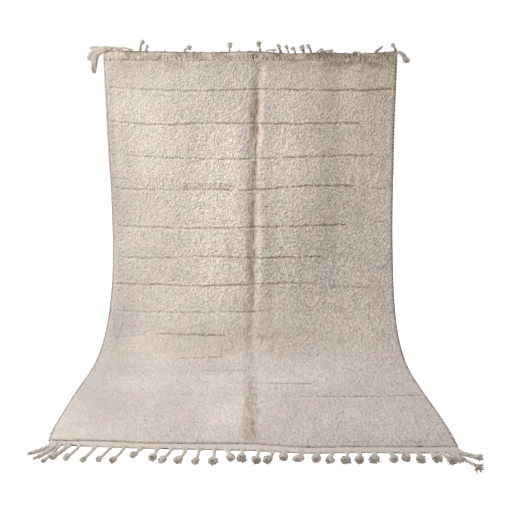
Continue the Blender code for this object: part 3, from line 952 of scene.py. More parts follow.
@dataclass
class PileField:
    """The knotted pile: yarn ends in irregular tufts, parted lines and the middle crease."""

    form: RugForm
    grain: PileGrain = PileGrain()
    columns: int = 480
    piece_rows: int = 176
    pieces: int = 4
    under_columns: int = 16
    under_rows: int = 11
    fine_steps: int = 4001
    tuft_rise: float = 0.0056
    nap_drop: float = 0.0026
    clump_rise: float = 0.0010
    lean: float = 0.0040
    splay: float = 0.0024
    rim: float = 0.010
    rim_drop: float = 0.0085
    rim_flat: float = 0.02
    line_crowd: float = 1.2
    line_crowd_reach: float = 0.020
    line_fade: float = 0.030
    line_depth: float = 0.006
    line_above: float = 0.0042
    line_below: float = 0.0085
    line_cut: float = 0.0022
    line_shade: float = 0.0066
    lip_place: float = 0.0135
    lip_reach: float = 0.008
    brow_place: float = -0.0075
    brow_reach: float = 0.006
    tone_reach: float = 0.70
    crease_power: tuple[float, ...] = (
        0.60, 1.05, 1.55, 1.08, 0.86, 1.35, 0.95, 0.95, 0.62, 0.34, 0.75, 0.93, 0.95, 0.75,
    )
    crease_left: float = 0.051
    crease_right: float = 0.034
    crease_depth: float = 0.0090
    relief_down: tuple[float, ...] = (1.06, 1.44, 1.58, 1.86, 1.32, 1.04, 1.10)
    relief_over: tuple[float, ...] = (0.58, 0.74, 0.97, 1.02, 1.12, 1.16, 1.12)
    line_mean: float = 0.67
    line_slant: float = 0.29
    warmth_mean: float = -0.36
    warmth_lying: float = 0.22
    worn_pitch: float = 0.0105
    worn_along: tuple[float, float] = (0.688, 0.727)
    worn_across: tuple[float, float] = (-0.43, -0.07)
    worn_fades: tuple[float, float] = (0.010, 0.06)
    top_reach: float = 0.042
    side_reach: float = 0.050
    crease_shade_and_soil: float = 0.73
    end_shade: float = 0.09
    end_reach: float = 0.0030

    @cached_property
    def shares_down(self) -> np.ndarray:
        """Share of the run at each row: rows stand closer along the parted lines."""
        fine = np.linspace(0.0, 1.0, self.fine_steps)
        along = self.form.pile_start + fine * (self.form.run - self.form.pile_start)
        crowd = np.ones(fine.shape)
        for parting in PARTINGS:
            level = float(np.mean(parting.levels))
            crowd += self.line_crowd * bell((along - level) / self.line_crowd_reach)
        total = np.concatenate(([0.0], np.cumsum(0.5 * (crowd[1:] + crowd[:-1]))))
        rows = self.piece_rows * self.pieces
        return np.interp(np.linspace(0.0, total[-1], rows + 1), total, fine)

    def partings(self, along: np.ndarray, across: np.ndarray) -> LineMarks:
        """What the parted lines do at each place: the pile above hangs over a narrow cut."""
        wander = self.grain.wander.at(across, along)
        broken = np.clip(self.grain.broken.at(across, along), 0.0, 1.0)
        broken = broken * (self.line_mean + self.line_slant * across / self.form.station_reach)
        depth, shade, lip, brow = (np.zeros(along.shape) for _ in range(4))
        for parting in PARTINGS:
            gap = along - smooth(parting.levels, self.form.across_share(across)) - wander
            cut = bell(gap / np.where(gap < 0.0, self.line_above, self.line_below))
            mark = bell(gap / self.line_shade)
            for span in parting.spans:
                shown = window(across, span.left, span.right, self.line_fade)
                shown = shown * (span.depth / self.line_depth)
                depth = np.maximum(depth, self.line_cut * shown * cut * (0.55 + 0.65 * broken))
                # the mark along each cut is painted shade
                shade = np.maximum(shade, shown * mark * broken)
                lip = np.maximum(lip, shown * bell((gap - self.lip_place) / self.lip_reach))
                brow = np.maximum(brow, shown * bell((gap - self.brow_place) / self.brow_reach))
        return LineMarks(depth, np.clip(shade, 0.0, 1.0), np.clip(lip, 0.0, 1.0), brow)

    def crease(
        self, along: np.ndarray, across: np.ndarray, lip: np.ndarray, lying: np.ndarray
    ) -> CreaseMarks:
        """What the crease does: a slope down to it from the left, darkened by painted shade, and a crest
        on its right lit by a painted highlight.

        Args:
            along: Places down the run.
            across: Places across.
            lip: Weight of the parted lines' lips, where the crease is weaker.
            lying: How far each place lies on the floor, 0 to 1.

        Returns:
            The weights of its valley, its dark side and its crest.
        """
        still = across * 0.0
        aside = across - self.form.crease_at(along) - self.grain.crease_sway.at(still, along)
        power = smooth(self.crease_power, along / self.form.run) * (1.0 - 0.40 * lip)
        left_reach = self.crease_left * self.grain.crease_reach.at(still, along)
        ramp = np.clip(1.0 + aside / left_reach, 0.0, 1.0) * (aside < 0.0)
        rising = np.clip(1.0 - aside / self.crease_right, 0.0, 1.0) * (aside >= 0.0)
        right_flank = np.clip(1.0 - aside / (0.014 + 0.020 * lying), 0.0, 1.0) * (aside >= 0.0)
        crest = ease(aside / 0.010) * (1.0 - ease((aside - 0.032) / 0.030)) * power * (1.0 - lying)
        return CreaseMarks((ramp + rising) * power, ramp**0.85 * power + right_flank * power, crest)

    def tufts(self, along: np.ndarray, across: np.ndarray) -> tuple[np.ndarray, ...]:
        """Wavy tufts of yarn ends.

        Args:
            along: Places down the run.
            across: Places across.

        Returns:
            How high each place stands in its tuft, and two random values of the tuft.
        """
        u = across + self.grain.bend_across.at(across, along)
        v = along + self.grain.bend_along.at(across, along)
        middle, room, rise, turn, tone = TuftCells().at(u, v)
        dome = np.clip(1.0 - (middle / 0.80) ** 2, 0.0, 1.0)
        cell = (0.55 * dome + 0.45 * ease(room / 0.45)) * (1.0 + 0.35 * rise)
        ridge = np.clip(1.0 - np.abs(self.grain.ridges.at(u, v)) * 1.7, 0.0, 1.0)
        return 0.42 * cell + 0.28 * ridge + 0.40 * self.grain.fine.at(u, v) + 0.08, turn, tone

    def surface(self) -> tuple[np.ndarray, dict[str, np.ndarray]]:
        """The whole pile face.

        Returns:
            Its points in rows down the run, and the layers kept at them.
        """
        form = self.form
        over = np.arange(self.columns + 1) / self.columns
        along, across = form.field_grid(self.shares_down, over, rounds=2)
        left, right = form.side_edges(along)
        tuft, turn, tone = self.tufts(along, across)
        clumps = self.grain.clumps.at(across, along)
        lines = self.partings(along, across)
        lying = ease((along - 1.60) / 0.25)
        crease = self.crease(along, across, lines.lip, lying)

        start = along - form.pile_start
        stop = form.pile_end_at(across) - along
        ends = np.minimum(start, stop)
        inside = np.minimum(ends, np.minimum(across - left, right - across) - form.selvedge)
        drop = 1.0 - np.clip(inside / self.rim, 0.0, 1.0)
        flat = np.clip(inside / self.rim_flat, 0.0, 1.0)
        relief = smooth(self.relief_down, along / form.run)
        relief = relief * smooth(self.relief_over, form.across_share(across))
        rise = self.tuft_rise * relief
        height = form.thick - self.nap_drop + rise * (tuft - 0.45) + self.clump_rise * clumps
        height = height - lines.depth + 0.0010 * lines.brow + 0.0008 * lines.lip
        rim_drop = np.where(ends < self.rim, 0.45, 1.0) * self.rim_drop
        height = height - self.crease_depth * crease.valley + 0.0012 * crease.crest - rim_drop * drop**2
        height = np.maximum(height, form.ground + 0.0012)
        sway = (self.lean * tuft * (1.0 + 0.4 * turn) + 0.0015 * lines.brow) * flat
        places = form.at(along + sway, across + self.splay * tuft * turn * flat, height)

        # painted light and shade in the pile's tone: the light and shade patches, tuft tips and clumps
        # lighter with the hollows between them darker, and painted highlights on the lips under the
        # parted lines and on the crease's crest; only the tufts' own random tone is the wool's
        light = patched(LIGHT_AND_SHADE_PATCHES, along, across)
        light += (0.15 * (tuft - 0.55) + 0.040 * tone) * np.minimum(relief, 1.6) + 0.026 * clumps
        light += 0.05 * lines.lip + 0.07 * crease.crest
        layers = {
            "tone": np.clip(light / self.tone_reach, -1.0, 1.0),
            "soil_and_shade": self.soil_and_shade(along, across, crease.flank),
            "parting": np.maximum(lines.shade, self.end_line(along, across, stop)),
            "warmth": patched(WARMTHS, along, across) + self.warmth_mean - self.warmth_lying * lying,
            "relief": relief,
        }
        return places, layers

    def soil_and_shade(self, along: np.ndarray, across: np.ndarray, flank: np.ndarray) -> np.ndarray:
        """How soiled and shaded the pile is: browner at the top, in the crease and at the worn rows, with
        painted shade on the crease's dark side and in brown patches.

        Args:
            along: Places down the run.
            across: Places across.
            flank: Weight of the crease's dark side.

        Returns:
            Shares from 0 to 1.
        """
        grain = self.grain
        phase = along * (2.0 * math.pi / self.worn_pitch) + grain.worn_rows.at(across, along)
        rows = np.maximum(np.sin(phase), 0.0)
        worn = window(along, *self.worn_along, self.worn_fades[0])
        worn = worn * window(across, *self.worn_across, self.worn_fades[1])
        total = worn * (0.16 + 0.80 * rows) * grain.worn.at(across, along)
        top = bell((along - self.form.pile_start) / self.top_reach)
        side = 0.34 + 0.62 * window(across, 0.36, 0.88, 0.10)
        total += top * side * np.clip(grain.blotch.at(across, along), 0.0, 1.4)
        speck = grain.speck.at(across, along)
        # painted shade, with some soil, down the crease's dark side
        total += self.crease_shade_and_soil * flank * np.clip(speck, 0.10, 1.3)
        # brown painted shade at the patches under the stray ends and on the bend's wrinkles
        total += patched(BROWN_SHADE_PATCHES, along, across) * np.clip(speck, 0.0, 1.5)
        beside = bell((across - self.form.side_edges(along)[0]) / self.side_reach)
        total += 0.16 * beside * window(along, 0.05, 0.95, 0.1)
        total += 0.05 * grain.broad.at(across, along)
        return np.clip(total, 0.0, 1.0)

    def end_line(self, along: np.ndarray, across: np.ndarray, stop: np.ndarray) -> np.ndarray:
        """Broken dark line of painted shade where the pile ends at the lower band."""
        broken = np.clip(self.grain.end_line.at(across, along), 0.0, 1.0)
        return self.end_shade * broken * bell(stop / self.end_reach)

    def faces(self) -> Faces:
        """Faces of one piece: the pile face, its four sides and a coarse underside."""
        rows, columns = self.piece_rows, self.columns
        index = np.arange((rows + 1) * (columns + 1)).reshape(rows + 1, columns + 1)
        under_shape = (rows // self.under_rows + 1, columns // self.under_columns + 1)
        under = index.size + np.arange(math.prod(under_shape)).reshape(under_shape)
        # the underside's faces go round the other way
        quads = np.concatenate((sheet_quads(index), sheet_quads(under)[:, [0, 3, 2, 1]]))
        rims = []
        for k in range(under_shape[0] - 1):
            run = slice(k * self.under_rows, (k + 1) * self.under_rows + 1)
            rims.append((index[run, 0][::-1], under[k:k + 2, 0]))
            rims.append((index[run, -1], under[k:k + 2, -1][::-1]))
        for k in range(under_shape[1] - 1):
            run = slice(k * self.under_columns, (k + 1) * self.under_columns + 1)
            rims.append((index[0, run], under[0, k:k + 2][::-1]))
            rims.append((index[-1, run][::-1], under[-1, k:k + 2]))
        return as_faces(quads) + [tuple(np.concatenate(rim).tolist()) for rim in rims]

    def build(self, material: bpy.types.Material) -> list[bpy.types.Object]:
        """The pile in pieces that meet without a gap."""
        places, layers = self.surface()
        faces = self.faces()
        over = np.arange(0, self.columns + 1, self.under_columns) / self.columns
        made = []
        for number in range(self.pieces):
            first = number * self.piece_rows
            rows = slice(first, first + self.piece_rows + 1)
            along, across = self.form.field_grid(self.shares_down[rows][::self.under_rows], over, 2)
            under = self.form.at(along, across, np.full(across.shape, self.form.ground + SEAM))
            points = np.concatenate((places[rows].reshape(-1, 3), under.reshape(-1, 3)))
            plain = np.zeros(across.size)
            kept = {
                name: np.concatenate((values[rows].ravel(), plain)) for name, values in layers.items()
            }
            made.append(make_piece(f"pile_{number + 1}", points, faces, kept, material))
        return made


# ---------------------------------------------------------------- the woven ground
@dataclass
class GroundCloth:
    """The woven ground under the pile, seen from behind and along the edges."""

    form: RugForm
    columns: int = 80
    rows: int = 130
    seed: int = 41
    unevenness: float = 0.5

    def build(self, material: bpy.types.Material) -> bpy.types.Object:
        """One thin closed sheet on the rug's folds."""
        down = np.arange(self.rows + 1) / self.rows
        over = np.arange(self.columns + 1) / self.columns
        along, across = self.form.field_grid(down, over, rounds=1)
        tops = self.form.at(along, across, np.full(across.shape, self.form.ground))
        unders = self.form.at(along, across, np.zeros(across.shape))
        size = across.size
        index = np.arange(size).reshape(across.shape)
        front = sheet_quads(index)
        rim = np.concatenate((index[0, :], index[1:, -1], index[-1, -2::-1], index[-2:0:-1, 0]))
        ahead = np.roll(rim, -1)
        edge = np.stack((rim, ahead, ahead + size, rim + size), axis=-1)
        faces = as_faces(np.concatenate((front, size + front[:, ::-1], edge)))
        points = np.concatenate((tops.reshape(-1, 3), unders.reshape(-1, 3)))
        rng = np.random.default_rng(self.seed)
        tone = rng.uniform(-1.0, 1.0, len(points)) * self.unevenness
        layers = {"tone": tone, "soil_and_shade": np.zeros(len(points))}
        return make_piece("woven_ground", points, faces, layers, material)


# ---------------------------------------------------------------- bands
@dataclass(frozen=True)
class BandGrain:
    """Random fields of a band's edge, ribs and soil."""

    edge: Grain = Grain(51, 0.014, power=0.0012)
    waver: Grain = Grain(52, 0.05, power=2.6)
    wobble: Grain = Grain(53, 0.010, 0.012, 0.0007)
    patch: Mottle = Mottle(0.26, (Grain(54, 0.045, 0.7, 0.28), Grain(55, 0.012, 0.35, 0.26)))
    ribbed: Mottle = Mottle(0.08, (Grain(58, 0.11, power=0.10),))
    right: Mottle = Mottle(0.22, (Grain(59, 0.030, 0.45, 0.40),))
    outer_line: Mottle = Mottle(0.62, (Grain(56, 0.022, power=0.60),))
    inner_line: Mottle = Mottle(0.40, (Grain(57, 0.020, power=0.75),))


@dataclass
class EndBand:
    """Flat-woven band across one end, ribbed by its warps."""

    form: RugForm
    upper: bool
    grain: BandGrain = BandGrain()
    columns: int = 620
    rib_pitch: float = 0.0100
    rib_rise: float = 0.0010
    rib_tone: float = 0.45
    thick: float = 0.0050
    crown: float = 0.0016
    lower_soil: float = 0.07
    profile: tuple[tuple[float, float], ...] = (
        (0.0, 0.0), (0.0, 0.75), (0.06, 1.0), (0.2, 1.0), (0.35, 1.0), (0.5, 1.0),
        (0.65, 1.0), (0.8, 1.0), (0.94, 1.0), (1.0, 0.75), (1.0, 0.0), (0.5, 0.0),
    )

    def build(self, material: bpy.types.Material) -> bpy.types.Object:
        """The band as one closed ribbed strip."""
        form, grain, count = self.form, self.grain, len(self.profile)
        left, right = form.ends_at(0.0 if self.upper else form.run)
        across = np.linspace(left, right, self.columns + 1)
        still = across * 0.0
        if self.upper:
            outer, inner = form.upper_edge_at(across), np.full(across.shape, form.pile_start - SEAM)
            warm = 0.25 + 0.75 * across / form.station_reach
        else:
            outer, inner = form.lower_edge_at(across), form.pile_end_at(across) + SEAM
            warm = still - 0.90
        outer = outer + grain.edge.at(across, still)
        ribs = np.sin(2.0 * math.pi * across / self.rib_pitch + grain.waver.at(across, still))
        rings = []
        for share, rise in self.profile:
            along = inner + (outer - inner) * share
            swell = self.crown * math.sin(math.pi * share) + self.rib_rise * ribs * (rise > 0.5)
            height = rise * (self.thick + swell + grain.wobble.at(across, along))
            rings.append(form.at(along, across, np.maximum(height, 0.0)))
        faces = tube_faces(self.columns + 1, count)
        if self.upper:
            # its rings start at the other end of the band's depth
            faces = [face[::-1] for face in faces]
        # the ribs' tone is painted light on their crests and painted shade in the gaps between them
        layers = {
            "tone": np.repeat(self.rib_tone * ribs[:, None], count, axis=1),
            "soil_and_shade": self.soil_and_shade(across, ribs),
            "warmth": np.repeat(warm[:, None], count, axis=1),
        }
        name = "band_upper" if self.upper else "band_lower"
        return make_piece(name, np.stack(rings, axis=1), faces, layers, material)

    def soil_and_shade(self, across: np.ndarray, ribs: np.ndarray) -> np.ndarray:
        """How dark the band is: in patches on the upper band, in broken lines on both edges, and painted
        shade in the gaps between its ribs and where the crease meets the upper band.

        Args:
            across: Place across of each column.
            ribs: Rib value of each column.

        Returns:
            A share for each column and each place of the profile.
        """
        total = np.zeros((len(across), len(self.profile)))
        grain, still = self.grain, across * 0.0
        outer_line = np.clip(grain.outer_line.at(across, still), 0.0, 1.0)[:, None]
        inner_line = np.clip(grain.inner_line.at(across, still), 0.0, 1.0)[:, None]
        if not self.upper:
            total[:, 2:9] = self.lower_soil
            total[:, 9:11] = 0.35 * outer_line
            total[:, 0:2] = 0.4 * inner_line
            return np.clip(total, 0.0, 1.0)
        for k, (share, _) in enumerate(self.profile):
            place = still + share
            patch = grain.patch.at(across, place) + (0.08 + 0.16 * window(across, 0.02, 0.42, 0.08))
            right = window(across, 0.36, 0.90, 0.10) * grain.right.at(across, place)
            # less soil on the ribs' crests and more in their gaps: painted shade between the ribs
            patch = patch + (right - grain.ribbed.at(across, still) * ribs)
            # the dark spot where the crease meets the band is painted shade in its hollow
            total[:, k] = patch + 0.9 * hump(across, 0.004, 0.036) * bell((share - 0.35) / 0.30)
        total[:, 8:11] = np.maximum(total[:, 8:11], outer_line)
        total[:, 0:2] = np.maximum(total[:, 0:2], 0.5 * inner_line)
        return np.clip(total, 0.0, 1.0)


@dataclass
class Overcast:
    """Yarn wrapped over the outer warps down one side."""

    form: RugForm
    right: bool
    turns: int = 760
    wide: float = 0.0090
    tall: float = 0.0090
    sides: int = 8
    swell: float = 0.16
    pitches: tuple[float, float] = (0.0125, 0.0185)
    waver: Grain = Grain(61, 1.0, 0.04, 2.2)

    def build(self, material: bpy.types.Material) -> bpy.types.Object:
        """The wrapped cord as one closed piece."""
        form = self.form
        sign = 1.0 if self.right else -1.0
        share = np.arange(self.turns + 1) / self.turns
        guess = form.pile_start + share * (form.run - form.pile_start)
        edge = form.side_edges(guess)[self.right]
        along = form.pile_start + share * (form.pile_end_at(edge) - form.pile_start)
        edge = form.side_edges(along)[self.right]
        phase = 2.0 * math.pi * along / self.pitches[self.right] + self.waver.at(edge * 0.0, along)
        wraps = np.sin(phase)[:, None]
        swell = 1.0 + self.swell * wraps
        around = (np.arange(self.sides) * (2.0 * math.pi / self.sides))[None, :]
        middle = (edge - sign * 0.5 * self.wide)[:, None]
        across = middle + 0.5 * self.wide * swell * np.cos(around)
        height = np.maximum(0.5 * self.tall * (1.0 + swell * np.sin(around)), 0.0)
        places = form.at(np.broadcast_to(along[:, None], across.shape), across, height)
        outward = np.clip(sign * np.cos(around), 0.0, 1.0)
        lying = ease((along - 1.75) / 0.20)[:, None]
        # the outward side is darker, less so where it lies on the floor: dark yarn with painted shade on
        # the side turned from the light
        if self.right:
            soil_and_shade = (0.55 + 0.40 * wraps + 0.25 * outward) * (1.0 - 0.35 * lying)
        else:
            soil_and_shade = 0.06 + 0.08 * wraps + (0.80 - 0.62 * lying) * outward**2
        tone = np.repeat(0.5 * wraps, self.sides, axis=1)
        faces = tube_faces(self.turns + 1, self.sides, turned=True)
        name = "overcast_right" if self.right else "overcast_left"
        layers = {"tone": tone, "soil_and_shade": np.clip(soil_and_shade, 0.0, 1.0)}
        return make_piece(name, places, faces, layers, material)


class Border(Enum):
    """Borders of the bands that a twined cord follows."""

    UPPER_OUTER = "over the upper band"
    UPPER_INNER = "between the upper band and the pile"
    LOWER_INNER = "between the pile and the lower band"
    LOWER_OUTER = "under the lower band"

@dataclass(frozen=True)
class Cord:
    """Twined cord along a border: how far it lies beside it, and its height, size and brownness."""

    border: Border
    aside: float
    height: float
    radius: float
    brown: float


CORDS = rows(
    Cord,
    (Border.UPPER_OUTER, 0.0012, 0.0050, 0.0021, -0.25),
    (Border.UPPER_INNER, -0.0030, 0.0064, 0.0011, -0.50),
    (Border.LOWER_INNER, 0.0030, 0.0064, 0.0013, -0.70),
    (Border.LOWER_OUTER, -0.0010, 0.0036, 0.0019, -0.60),
)


@dataclass
class TwinedCords:
    """Twined cords along the bands' borders, in brown and pale dashes."""

    form: RugForm
    columns: int = 560
    sides: int = 5
    inset: float = 0.003
    dash: float = 0.013
    wrap_pitch: float = 0.0080
    first_seed: int = 67
    drift: Grain = Grain(65, 0.030, 9.0, 0.0009)
    waver: Grain = Grain(66, 0.05, power=2.0)
    stretches: Grain = Grain(72, 0.060, power=0.5)

    def path(self, cord: Cord, across: np.ndarray) -> np.ndarray:
        """Middle line of one cord, as along, across and height."""
        form = self.form
        along = {
            Border.UPPER_OUTER: form.upper_edge_at(across),
            Border.UPPER_INNER: np.full(across.shape, form.pile_start),
            Border.LOWER_INNER: form.pile_end_at(across),
            Border.LOWER_OUTER: form.lower_edge_at(across),
        }[cord.border]
        along = along + cord.aside
        along = along + self.drift.at(across, along)
        return np.stack((along, across, np.full(across.shape, cord.height)), axis=1)

    def build(self, material: bpy.types.Material) -> bpy.types.Object:
        """All four cords as one piece."""
        weft = Weft()
        for number, cord in enumerate(CORDS):
            left, right = self.form.ends_at(0.0 if number < 2 else self.form.run)
            across = np.linspace(left + self.inset, right - self.inset, self.columns + 1)
            still = across * 0.0 + number
            phase = 2.0 * math.pi * across / self.wrap_pitch + self.waver.at(across, still)
            dashes = Grain(self.first_seed + number, self.dash).at(across, still)
            brown = ease((dashes + self.stretches.at(across, still) + cord.brown + 0.35) / 0.5)
            size = cord.radius * (1.0 + 0.22 * np.sin(phase))
            form = strand(self.path(cord, across), size, self.sides)
            weft.add(form, 0.1, np.repeat(0.06 + 0.90 * brown, self.sides))
        return weft.piece("twined_cords", self.form, material)


# ---------------------------------------------------------------- tassels
@dataclass(frozen=True)
class FloorTassel:
    """Tassel that lies on the floor: root and knot across, the knot's reach, and its build."""

    root: float
    knot: float
    reach: float
    end: Knot = Knot.BALL
    size: float = 1.0
    thick: float = 0.0066
    wide: float = 1.1


@dataclass(frozen=True)
class EdgeTassel:
    """Tassel on the upper edge: root and knot across, rise, height out, and arch."""

    root: float
    knot: float
    rise: float
    out: float
    arch: float
    end: Knot = Knot.BUD
    size: float = 1.0
    thick: float = 0.0042


@dataclass(frozen=True)
class LooseBundle:
    """Untied bundle of yarns over a corner, as places across and heights over the edge."""

    root: tuple[float, float]
    control: tuple[float, float]
    tip: tuple[float, float]
    out: float
    spread: float
    yarns: int
    radius: float
    knotted: bool = False


FLOOR_TASSELS = rows(
    FloorTassel,
    (-0.771, -0.827, 0.070, Knot.BLUNT, 1.15, 0.0088),
    (-0.756, -0.793, 0.099, Knot.BLUNT, 1.35, 0.0092),
    (-0.741, -0.762, 0.119, Knot.BUD, 0.90, 0.0062),
    (-0.708, -0.736, 0.090, Knot.BALL, 1.0, 0.0090, 1.0),
    (-0.664, -0.686, 0.091, Knot.BALL, 1.0, 0.0070, 1.0),
    (-0.602, -0.622, 0.104, Knot.BALL, 0.88, 0.0066, 1.0),
    (-0.543, -0.563, 0.095, Knot.BALL, 0.92, 0.0062, 1.0),
    (-0.489, -0.511, 0.098, Knot.BALL, 1.05, 0.0064, 1.0),
    (-0.426, -0.443, 0.058, Knot.BALL, 1.0, 0.0066, 1.1),
    (-0.363, -0.368, 0.076, Knot.BALL, 1.15, 0.0066, 1.1),
    (-0.307, -0.331, 0.088, Knot.BALL, 1.10, 0.0066, 1.15),
    (-0.252, -0.270, 0.089, Knot.BALL, 1.15, 0.0066, 1.1),
    (-0.202, -0.207, 0.094, Knot.BALL, 1.10, 0.0068, 1.2),
    (-0.144, -0.143, 0.094, Knot.BALL, 1.20, 0.0072, 1.2),
    (-0.093, -0.081, 0.067, Knot.BALL, 1.15, 0.0072, 1.2),
    (-0.039, -0.040, 0.067, Knot.BRUSH, 1.25, 0.0072, 1.15),
    (0.023, 0.013, 0.076, Knot.BRUSH, 1.20, 0.0070, 1.2),
    (0.077, 0.058, 0.069, Knot.BRUSH, 1.15, 0.0070, 1.15),
    (0.121, 0.115, 0.045, Knot.BRUSH, 1.15, 0.0078, 1.2),
    (0.186, 0.168, 0.052, Knot.BALL, 1.05, 0.0070, 1.6),
    (0.248, 0.235, 0.053, Knot.BALL, 1.15, 0.0070, 1.2),
    (0.298, 0.285, 0.060, Knot.BRUSH, 1.15, 0.0070, 1.2),
    (0.357, 0.342, 0.065, Knot.BRUSH, 1.20, 0.0070, 1.25),
    (0.403, 0.391, 0.062, Knot.BRUSH, 1.15, 0.0070, 1.2),
    (0.459, 0.446, 0.059, Knot.BRUSH, 1.20, 0.0070, 1.25),
    (0.521, 0.518, 0.057, Knot.BALL, 1.15, 0.0070, 1.2),
    (0.576, 0.566, 0.044, Knot.BRUSH, 1.15, 0.0070, 1.2),
    (0.620, 0.618, 0.055, Knot.BRUSH, 1.20, 0.0070, 1.2),
    (0.674, 0.678, 0.050, Knot.BRUSH, 1.25, 0.0070, 1.25),
    (0.714, 0.726, 0.064, Knot.BRUSH, 1.25, 0.0072, 1.2),
    (0.745, 0.758, 0.059, Knot.BALL, 1.20, 0.0088, 1.2),
    (0.762, 0.808, 0.108, Knot.STAR, 1.1, 0.0066),
    (0.777, 0.836, 0.047, Knot.HAMMER, 1.1, 0.0092, 1.5),
)

EDGE_TASSELS = rows(
    EdgeTassel,
    (-0.815, -0.752, 0.006, 0.012, 0.022, Knot.BLUNT, 0.7, 0.0062),
    (-0.765, -0.706, 0.004, 0.016, 0.022, Knot.BLUNT, 0.7, 0.0056),
    (-0.728, -0.650, 0.001, 0.018, 0.024, Knot.BLUNT, 0.7, 0.0056),
    (-0.662, -0.664, -0.062, -0.030, 0.020),
    (-0.603, -0.591, 0.046, 0.002, 0.035, Knot.BUD, 1.1),
    (-0.570, -0.565, 0.025, 0.002, 0.016, Knot.BUD, 0.8),
    (-0.520, -0.517, -0.060, -0.031, 0.020),
    (-0.470, -0.476, -0.054, -0.029, 0.018),
    (-0.418, -0.414, -0.058, -0.030, 0.020),
    (-0.365, -0.340, 0.022, 0.004, 0.022, Knot.BUD, 1.2),
    (-0.312, -0.308, -0.056, -0.031, 0.020),
    (-0.262, -0.266, -0.061, -0.029, 0.020),
    (-0.214, -0.210, -0.055, -0.030, 0.018),
    (-0.166, -0.170, -0.059, -0.031, 0.020),
    (-0.120, -0.119, 0.032, 0.002, 0.020, Knot.BUD, 1.2),
    (-0.070, -0.066, -0.060, -0.030, 0.020),
    (-0.018, -0.020, -0.064, -0.029, 0.020),
    (0.046, 0.038, 0.039, 0.002, 0.025, Knot.BUD, 1.2),
    (0.078, 0.114, 0.007, 0.022, 0.014, Knot.BLUNT),
    (0.156, 0.146, 0.034, 0.002, 0.020, Knot.BUD, 1.1),
    (0.199, 0.187, 0.033, 0.002, 0.020, Knot.BUD, 0.9),
    (0.237, 0.224, 0.025, 0.002, 0.016, Knot.BUD, 0.95),
    (0.281, 0.274, 0.026, 0.002, 0.016, Knot.BUD, 1.4),
    (0.321, 0.306, 0.034, 0.002, 0.020),
    (0.354, 0.376, 0.009, 0.022, 0.014),
    (0.394, 0.426, 0.005, 0.023, 0.014),
    (0.452, 0.456, -0.057, -0.030, 0.018),
    (0.506, 0.522, -0.042, 0.034, 0.016, Knot.BUD, 1.1),
    (0.554, 0.582, -0.007, 0.024, 0.014),
    (0.616, 0.612, -0.058, -0.030, 0.018),
    (0.668, 0.702, 0.028, 0.004, 0.010, Knot.BLUNT, 0.6, 0.0060),
    (0.724, 0.720, -0.056, -0.030, 0.018),
    (0.780, 0.764, 0.030, 0.002, 0.018, Knot.BUD, 1.0),
)

CORNER_BUNDLES = rows(
    LooseBundle,
    ((-0.785, 0.004), (-0.830, 0.020), (-0.880, 0.004), 0.006, 0.006, 8, 0.0046),
    ((-0.780, -0.002), (-0.852, 0.016), (-0.883, -0.062), 0.012, 0.014, 22, 0.0060),
    ((-0.790, -0.006), (-0.866, -0.004), (-0.852, -0.138), 0.018, 0.014, 20, 0.0060),
    ((0.782, -0.002), (0.816, 0.002), (0.846, -0.062), 0.010, 0.007, 10, 0.0050, True),
)


@dataclass(frozen=True)
class KnotForm:
    """Size of a knot's ball, and the locks that fray out of it."""

    ball: float
    locks: int
    length: float
    radius: float
    flare: float
    soil_and_shade: tuple[float, float] = (0.30, 0.65)


KNOTS = {
    Knot.BALL: KnotForm(1.05, 16, 0.0080, 0.0028, 0.85, (0.15, 0.55)),
    Knot.BRUSH: KnotForm(1.02, 32, 0.0098, 0.0034, 1.0, (0.05, 0.60)),
    Knot.BUD: KnotForm(0.82, 9, 0.0075, 0.0026, 0.8),
    Knot.STAR: KnotForm(0.80, 16, 0.022, 0.0028, 1.3),
    Knot.HAMMER: KnotForm(0.95, 12, 0.012, 0.0030, 1.0),
    Knot.BLUNT: KnotForm(0.0, 14, 0.018, 0.0030, 0.26, (0.05, 0.15)),
}


